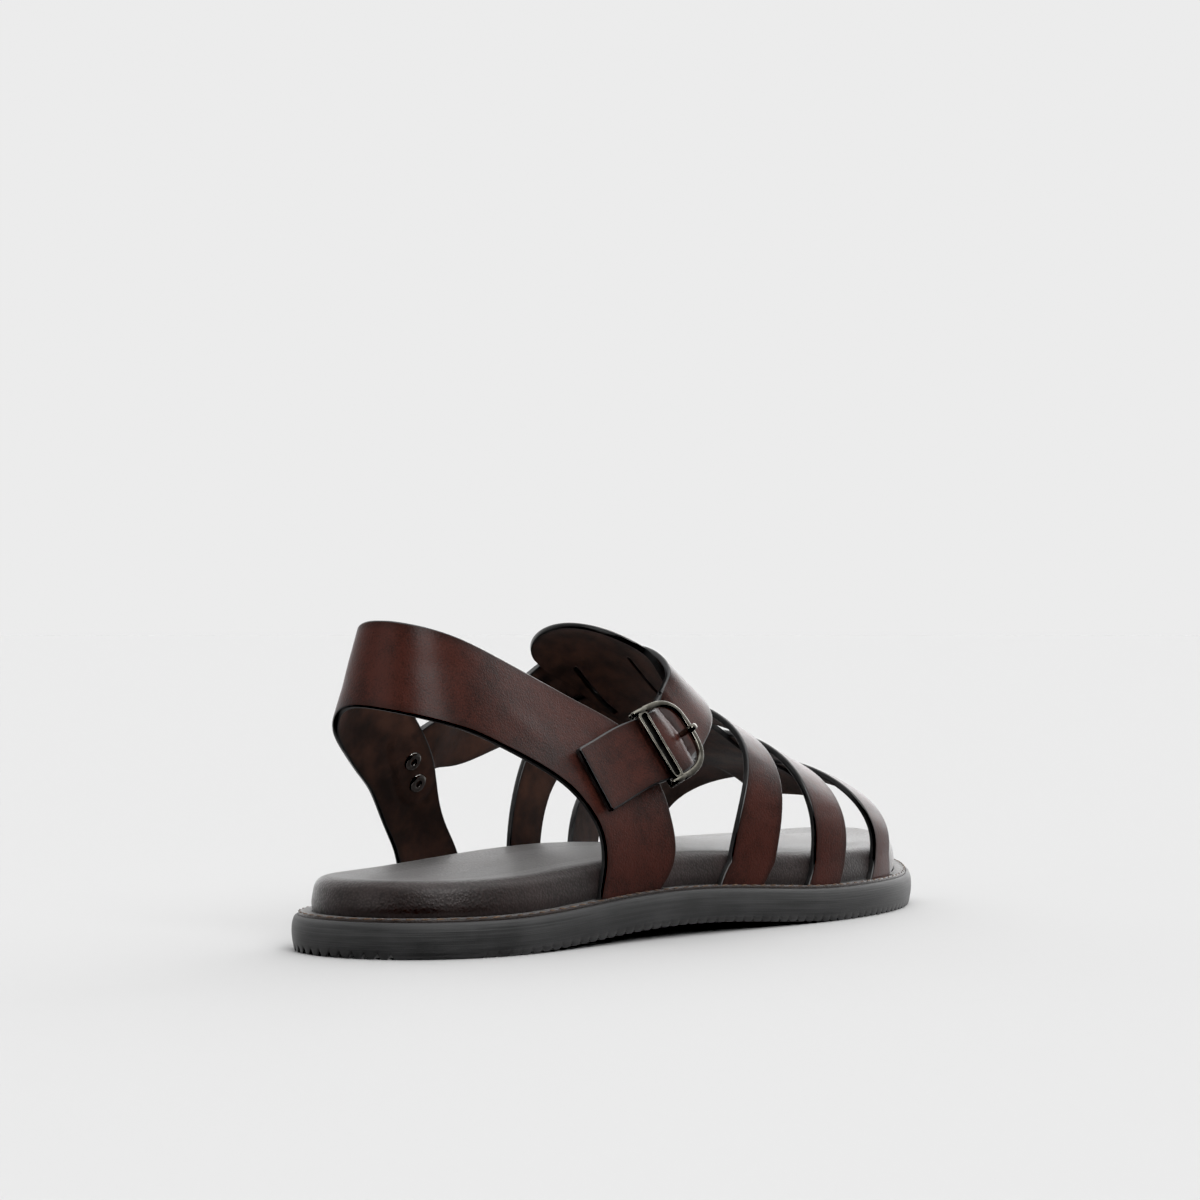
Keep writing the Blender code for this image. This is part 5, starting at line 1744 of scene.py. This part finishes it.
@dataclass
class Buckle:
    """Gunmetal D buckle: D wire, flat keeper frame over the strap, ears, hinge bar and pin."""

    last: Last
    leather: float = 0.0022
    strap_width: float = 0.0228
    wire: float = 0.0011
    bar: float = 0.0008
    pin: float = 0.0008
    tip: float = 0.00115
    keeper: float = 0.0007
    keeper_run: float = 0.0040
    depth: float = 0.0144
    tilt: float = 0.0012
    axle_rise: float = 0.0016
    hole_place: float = 0.0132
    hole: float = 0.0018
    station: float = 0.3915
    height: float = 0.570
    direction: tuple[float, float, float] = (0.965, 0.05, 0.26)

    def __post_init__(self) -> None:
        """Find the buckle's axes on the outer quarter."""
        last = self.last
        x, z = float(last.sole.station_x(self.station)), self.height * last.heel
        run = last.heel_run(x, z, -1)
        origin = last.heel_skin(run, z, self.leather)
        self.axes = Axes(origin, self.direction, last.heel_normal(run, z))
        gap = last.sole.gap
        self.strap_rise = self.axle_rise + self.bar + 5.0 * gap
        self.rise = self.strap_rise + self.leather + self.wire + gap
        self.half = self.strap_width / 2.0 + self.wire + gap

    def wire_path(self) -> list[np.ndarray]:
        """Middle line of the D, up one side, round the front and down the other."""
        points = []
        for k in range(61):
            turn = math.pi * k / 60.0
            along = self.depth * math.sin(turn) ** 0.75 if 0 < k < 60 else 0.0
            down = -self.half * math.copysign(abs(math.cos(turn)) ** 0.62, math.cos(turn))
            points.append(self.axes.at(along, down, self.rise + self.tilt * along / self.depth))
        return points

    def frame(self, metal: bpy.types.Material, groove_shade: bpy.types.Material) -> bpy.types.Object:
        """Build and dress everything but the pin.

        Args:
            metal: its material.
            groove_shade: near-black material of the floor between the keeper's bars, painted shade
                for the groove.

        Returns:
            The piece.
        """
        form, at = Form(), self.axes.at
        guide = self.axes.out
        tube(form, self.wire_path(), [self.wire * 0.94], 24, guide=guide, flatten=1.12, square=0.62)
        back = -self.keeper_run
        corner = 0.0017
        keeper = []
        for side in (-1, 1):
            for k in range(9):
                turn = math.pi * k / 8.0
                swing = math.cos(turn if side > 0 else math.pi - turn) * abs(back) / 2.0
                along = back / 2.0 + swing
                down = side * (self.half - 1.4 * corner + corner * math.sin(turn) ** 0.8)
                keeper.append(at(along, down, self.rise + 0.0001))
        tube(form, keeper, [self.keeper], 24, closed=True, guide=guide, square=0.62)
        inset = self.half - 0.0012
        corners = ((0.0, -inset), (back, -inset), (back, inset), (0.0, inset))
        self.groove(form, [at(along, down, self.rise - 0.0006) for along, down in corners])
        for side in (-1, 1):
            ear = [at(-4.7 * self.wire, side * self.half, self.rise - 0.36 * self.wire),
                   at(-3.2 * self.wire, side * self.half, self.rise - 0.1 * self.wire),
                   at(1.1 * self.wire, side * self.half, self.rise)]
            radii = [self.wire * 0.86, self.wire * 0.98, self.wire]
            tube(form, ear, radii, 20, fine=9, guide=guide)
            edge = side * (self.half + 0.2 * self.wire)
            post = [at(0.0, edge, self.rise), at(0.0, edge, self.axle_rise)]
            tube(form, post, [self.wire * 0.85], 16, guide=self.axes.along)
        reach = self.half + 0.4 * self.wire
        axle = [at(0.0, side * reach, self.axle_rise) for side in (-1, 1)]
        tube(form, axle, [self.bar], 16, guide=guide)
        return settle(form.make("buckle", [metal, groove_shade], 60.0), "gunmetal", "buckle_frame")

    def groove(self, form: Form, plate: list[np.ndarray]) -> None:
        """Add the thin floor between the keeper's two bars, in the near-black second material:
        painted shade for the groove.
        """
        out = self.axes.out * 0.0003
        corners = np.array([point + side * out for side in (-1.0, 1.0) for point in plate])
        first = form.add(corners, corners[:, :2], np.zeros(8))
        form.quads(first, first + 4, 4, 1)
        form.face([first + k for k in (0, 1, 2, 3)], 1)
        form.face([first + k for k in (7, 6, 5, 4)], 1)

    def prong(self, metal: bpy.types.Material) -> bpy.types.Object:
        """Build and dress the pin, from the hinge bar through the hole to the front of the D.

        Args:
            metal: its material.

        Returns:
            The piece.
        """
        gap, hole, tip = self.last.sole.gap, self.hole_place, self.depth
        over = self.rise + self.tilt + self.wire + self.pin
        rows = [(self.bar + self.pin + 1.7 * gap, self.axle_rise),
                (0.55 * hole, self.axle_rise + 0.25 * self.pin),
                (hole - 0.5 * self.hole, 0.56 * self.strap_rise),
                (hole - 0.30 * self.hole, self.strap_rise),
                (hole - 0.10 * self.hole, self.strap_rise + self.leather),
                (tip - 0.9 * self.pin, over - 0.3 * gap), (tip, over),
                (tip + 1.3 * self.pin, over - gap)]
        form = Form()
        radii = [self.pin] * 4 + [0.5 * (self.pin + self.tip)] + [self.tip] * 3
        tube(form, [self.axes.at(along, 0.0, out) for along, out in rows], radii, 20, fine=48,
             guide=self.axes.down, flatten=0.72)
        return settle(form.make("buckle_pin", [metal]), "gunmetal", "buckle_prong")


@dataclass
class InstepStrap:
    """Strap from the rivets over the tongue, through the buckle, to its square end."""

    buckle: Buckle
    width: float = 0.0228
    riveted_width: float = 0.0190
    round_end: float = 0.0095
    leather: float = 0.0022
    tongue_lap: float = 0.0005
    corner: float = 0.0011
    fold_side: float = 0.0104
    fold_peak: float = 0.0125
    fold_drop: float = 0.0038
    ridge: float = 0.00018
    pull: float = 0.00028
    reach: float = 0.016
    above: float = 0.012
    on_inner: tuple[OnInner, ...] = (OnInner(0.240, 0.427, 1.0), OnInner(0.233, 0.519, 1.0),
                                     OnInner(0.255, 0.583, 2.3))
    free: tuple[Free, ...] = (
        Free(0.308, 0.258, 0.629, -0.02, 0.95, 0.30), Free(0.363, 0.260, 0.668, 0.02, 0.95, 0.32),
        Free(0.418, 0.279, 0.707, 0.04, 0.93, 0.37), Free(0.466, 0.279, 0.770, 0.22, 0.83, 0.51),
        Free(0.4925, -0.250, 0.764, 0.36, -0.62, 0.70))
    on_tongue: tuple[OnTongue, ...] = (OnTongue(0.497, 0.60, 8.0), OnTongue(0.506, 0.00, 3.3),
                                       OnTongue(0.503, -0.60, 8.0))
    in_buckle: tuple[InBuckle, ...] = (InBuckle(1.06, -0.110, 0.49), InBuckle(0.667, -0.022, 0.92),
                                       InBuckle(0.303, 0.0, 1.13), InBuckle(0.0, 0.0, 1.0))
    on_outer: tuple[OnOuter, ...] = (OnOuter(0.0342, 0.0272, 7.3), OnOuter(0.0719, 0.0563, 3.0),
                                     OnOuter(0.1113, 0.0874, 2.0))
    creases: tuple[Crease, ...] = (
        Crease(40.0, 2.0, 9.0, 2.4, 0.2, 30.0), Crease(60.0, -3.0, 8.0, 2.4, -0.2, -20.0),
        Crease(112.0, 2.0, 7.0, 1.8, 0.2, 80.0), Crease(120.0, -2.0, 7.0, 2.0, 0.22, 85.0))

    def rows(self) -> list[tuple[np.ndarray, np.ndarray]]:
        """Middle line's points with their outward directions."""
        last = self.buckle.last
        sole, gap = last.sole, last.sole.gap
        rows = []
        for row in self.on_inner:
            height = row.height * last.heel
            run = last.heel_run(float(sole.station_x(row.station)), height, 1)
            point = last.heel_skin(run, height, self.leather + row.lift * gap)
            rows.append((point, last.heel_normal(run, height)))
        for row in self.free:
            y = row.side * sole.width + sole.shift
            point = np.array([float(sole.station_x(row.station)), y, row.height * last.instep])
            rows.append((point, np.array([row.forward, row.sideways, row.upward])))
        for row in self.on_tongue:
            x = float(sole.station_x(row.station))
            normal = last.tongue_normal(x, row.across)
            lift = self.tongue_lap + row.lift * gap
            rows.insert(-1, (last.tongue_point(x, row.across) + normal * lift, normal))
        axes = self.buckle.axes
        for row in self.in_buckle:
            along, rise = row.along * self.buckle.depth, row.rise * self.buckle.strap_rise
            rows.append((axes.at(along, row.down * self.width, rise), axes.out))
        for row in self.on_outer:
            x = axes.origin[0] - row.back * sole.length
            z = axes.origin[2] - row.below * last.heel
            run = last.heel_run(x, z, -1)
            point = last.heel_skin(run, z, self.leather + row.lift * gap)
            rows.append((point, last.heel_normal(run, z)))
        return rows

    def fold(self, down: np.ndarray) -> np.ndarray:
        """How far along the fold lies at places across the strap."""
        peak = np.clip(1.0 - np.abs(down + 0.0012) / (self.width / 2.0), 0.0, 1.0) ** 1.3
        return self.fold_side + (self.fold_peak - self.fold_side) * peak

    def folded(self, points: np.ndarray) -> np.ndarray:
        """Inside the D the strap bends over an edge that the pin pulls to a point.

        Args:
            points: a grid of points of the strap.

        Returns:
            Height of the relief at each point.
        """
        along, down, out = self.buckle.axes.inside(points)
        near = (np.abs(down) < self.reach) & (out > -0.001) & (out < self.above)
        fold = self.fold(down)
        beyond = along - fold
        drop = smooth_step(beyond, -0.0004, 0.0014) * (1.0 - smooth_step(along, 0.0150, 0.0215))
        ridge = np.exp(-((along - fold + 0.0007) / 0.0012) ** 2) * self.ridge
        pull = self.pull * np.exp(-((along - fold + 0.0032) / 0.0010) ** 2
                                  - ((down + 0.0002) / 0.0014) ** 2)
        return np.where(near, ridge - pull - self.fold_drop * drop, 0.0)

    def build(self, finishes: Sequence[bpy.types.Material]) -> bpy.types.Object:
        """Build and dress the strap.

        Args:
            finishes: grain, paint and flesh materials.

        Returns:
            The piece.
        """
        rows = self.rows()
        points = np.array([row[0] for row in rows])
        normals = np.array([row[1] / np.linalg.norm(row[1]) for row in rows])
        run = lengths(points)
        centre = [Curve(run, points[:, k]) for k in range(3)]
        facing = [Curve(run, normals[:, k]) for k in range(3)]
        end, narrow = float(run[-1]), run[len(rows) // 3]

        def skin(s: float, share: float) -> np.ndarray:
            """A point of the strap's inner face."""
            point = np.array([c(s) for c in centre])
            along = np.array([c(min(s + 0.0005, end)) - c(max(s - 0.0005, 0.0)) for c in centre])
            along /= np.linalg.norm(along)
            out = np.array([f(s) for f in facing])
            out -= along * np.dot(out, along)
            out /= np.linalg.norm(out)
            full = smooth_step(s, 0.0, narrow)
            half = wide = (self.riveted_width + (self.width - self.riveted_width) * full) / 2.0
            if s < self.round_end:
                bulge = math.sqrt(max(1.0 - (1.0 - s / self.round_end) ** 2, 0.0))
                wide = half * bulge * 0.86 + half * 0.14
            if end - s < self.corner:
                left = self.corner - (end - s)
                wide = half - self.corner + math.sqrt(max(self.corner ** 2 - left ** 2, 0.0))
            return point + np.cross(along, out) * (share * 2.0 - 1.0) * wide

        steps = list(Sheet.EDGE_STEPS)
        samples = steps + list(np.arange(steps[-1] + 0.0007, end - steps[-1] - 0.0003, 0.00075))
        samples += [end - step for step in reversed(steps)]
        form = Form()
        core = (-0.03, self.buckle.last.sole.shift, 0.035)
        sheet = Sheet(self.leather, core, inside=17, creases=self.creases, ended=True,
                      relief=self.folded)
        sheet.build(form, skin, samples)
        # Painted shade: the leather beyond the buckle's fold is darkened through its rim values.
        self.paint_fold_shade(form)
        return settle(form.make("instep_strap_leather", finishes), "strap_leather", "instep_strap")

    def paint_fold_shade(self, form: Form) -> None:
        """Painted shade: darken the leather beyond the buckle's fold, where it dips into shadow
        under the D, by lowering its rim values as if it lay near an edge.
        """
        along, down, out = self.buckle.axes.inside(np.concatenate(form.points))
        near = (np.abs(down) < self.reach) & (out > -0.004) & (out < self.above)
        beyond = along - self.fold(down)
        shade = smooth_step(beyond, 0.0, 0.0008) * (1.0 - smooth_step(along, 0.0175, 0.0205))
        form.rim = list(np.array(form.rim) * np.where(near, 1.0 - shade, 1.0))


@dataclass
class Studio:
    """Pale sweep, soft lights and the camera."""

    eye: tuple[float, float, float] = (-0.852935, -0.688514, 0.107090)
    right: tuple[float, float, float] = (0.63568436, -0.77194909, 0.0)
    up: tuple[float, float, float] = (-0.00207898, -0.001712, 0.99999637)
    focal: float = 96.1447
    floor_tone: float = 0.735
    backdrop: float = 0.838
    dome: float = 12.0
    bright_side: tuple[float, float, float] = (0.62, 0.51, 0.60)
    glow: tuple[tuple[float, float], ...] = ((0.0, 0.07), (0.25, 0.30), (0.60, 0.90), (1.0, 1.08))
    suns: tuple[tuple[str, tuple[float, float, float], float, float], ...] = (
        ("key_light", (-0.34, -0.84, 0.62), 30.0, 1.22),
        ("toe_light", (0.91, 0.26, 0.37), 48.0, 1.15),
        ("heel_light", (-0.97, 0.06, 0.26), 40.0, 0.40),
        ("top_light", (0.10, -0.25, 0.96), 60.0, 0.60),
    )

    def build(self) -> None:
        """Make the floor, the backdrop, the lights and the camera."""
        self.floor()
        self.sweep()
        self.lights()
        self.camera()

    @staticmethod
    def rings(levels: Sequence[tuple[float, float]], sides: int, cap: int) -> Form:
        """Level rings round the origin, joined up, one of them closed with a face.

        Args:
            levels: radius and height of each ring.
            sides: points in a ring.
            cap: which ring is closed.

        Returns:
            The form.
        """
        form, turn, starts = Form(), turns_of(sides), []
        for radius, height in levels:
            flat = np.column_stack([radius * np.cos(turn), radius * np.sin(turn)])
            starts.append(form.add(np.column_stack([flat, np.full(sides, height)]), flat))
        form.face(range(starts[cap], starts[cap] + sides))
        form.join(starts, sides)
        return form

    def floor(self) -> None:
        """Wide round floor at the ground."""
        material, shader = plain_material("studio_floor")
        shader.inputs["Roughness"].default_value = 0.9
        shader.inputs["Specular IOR Level"].default_value = 0.0
        shader.inputs["Base Color"].default_value = (self.floor_tone,) * 3 + (1.0,)
        levels = [(radius, -0.0001) for radius in (0.05, 0.6, 3.0, 11.9)]
        floor = self.rings(levels, 96, 0).make("floor", [material])
        if floor.data.polygons[0].normal.z < 0.0:
            floor.data.flip_normals()
        floor.visible_glossy = False

    def sweep(self) -> None:
        """Pale dome behind everything, seen by the camera alone."""
        material, _ = plain_material("studio_sweep")
        tree = material.node_tree
        values = {"Color": (self.backdrop,) * 3 + (1.0,), "Strength": 1.0}
        glow = add_node(tree, "ShaderNodeEmission", values)
        tree.links.new(glow.outputs[0], tree.nodes["Material Output"].inputs["Surface"])
        levels = [(self.dome * math.cos(height), self.dome * math.sin(height))
                  for height in np.radians(np.linspace(-2.0, 86.0, 23))]
        dome = self.rings(levels, 64, -1).make("backdrop", [material])
        dome.visible_diffuse = dome.visible_glossy = False
        dome.visible_shadow = dome.visible_transmission = False

    def lights(self) -> None:
        """Soft lights of the studio and the light of its walls."""
        for name, source, angle, power in self.suns:
            lamp = bpy.data.lights.new(name, "SUN")
            lamp.energy = power
            lamp.angle = math.radians(angle)
            thing = bpy.data.objects.new(name, lamp)
            thing.rotation_mode = "QUATERNION"
            thing.rotation_quaternion = Vector(source).to_track_quat("Z", "Y")
            bpy.context.collection.objects.link(thing)
        world = bpy.data.worlds.new("studio")
        world.use_nodes = True
        tree = world.node_tree
        back = tree.nodes["Background"]
        place = tree.nodes.new("ShaderNodeTexCoord").outputs["Generated"]
        axis = Vector(self.bright_side).normalized()
        values = {0: place, 1: axis}
        facing = add_node(tree, "ShaderNodeVectorMath", values, operation="DOT_PRODUCT")
        ramp = add_node(tree, "ShaderNodeFloatCurve", {"Value": facing.outputs["Value"]})
        points = ramp.mapping.curves[0].points
        ramp.mapping.use_clip = False
        for k, (where, strength) in enumerate(self.glow):
            if 0 < k < len(self.glow) - 1:
                points.new(where, strength)
            else:
                points[-1 if k else 0].location = (where, strength)
        ramp.mapping.update()
        tree.links.new(ramp.outputs[0], back.inputs["Strength"])
        back.inputs["Color"].default_value = (1.0, 1.0, 1.0, 1.0)
        bpy.context.scene.world = world

    def camera(self) -> None:
        """Camera at the photograph's viewpoint."""
        data = bpy.data.cameras.new("camera")
        data.lens, data.sensor_width, data.sensor_height = self.focal, 36.0, 36.0
        data.sensor_fit = "HORIZONTAL"
        data.clip_start, data.clip_end = 0.01, 40.0
        right, up = Vector(self.right), Vector(self.up)
        back = right.cross(up)
        turned = Matrix((right, up, back)).transposed().to_4x4()
        camera = bpy.data.objects.new("camera", data)
        camera.matrix_world = Matrix.Translation(Vector(self.eye)) @ turned
        bpy.context.collection.objects.link(camera)
        bpy.context.scene.camera = camera


def main() -> None:
    """Build the sandal and its studio."""
    logging.basicConfig(level=logging.INFO, format="%(name)s: %(message)s")
    bpy.context.scene.view_settings.view_transform = "Standard"
    Studio().build()
    sole = SoleShape()
    last = Last(sole)
    leather = [finish.make() for finish in (BURNISHED_LEATHER, EDGE_PAINT, FLESH_SIDE)]
    gunmetal = GUNMETAL.make()
    RubberSole(sole).build(RUBBER.make())
    Footbed(sole).build(FOOTBED_COVER.make())
    WeltStrip(sole).build(WELT_LEATHER.make(), THREAD.make())
    FrontStraps(last).build(leather)
    rivets = RingRivets(last)
    HeelPiece(last).build(rivets, leather)
    rivets.build(RIVET_METAL.make())
    buckle = Buckle(last)
    buckle.frame(gunmetal, GROOVE_SHADE_METAL.make())
    buckle.prong(gunmetal)
    InstepStrap(buckle).build(leather)


if __name__ == "__main__":
    main()
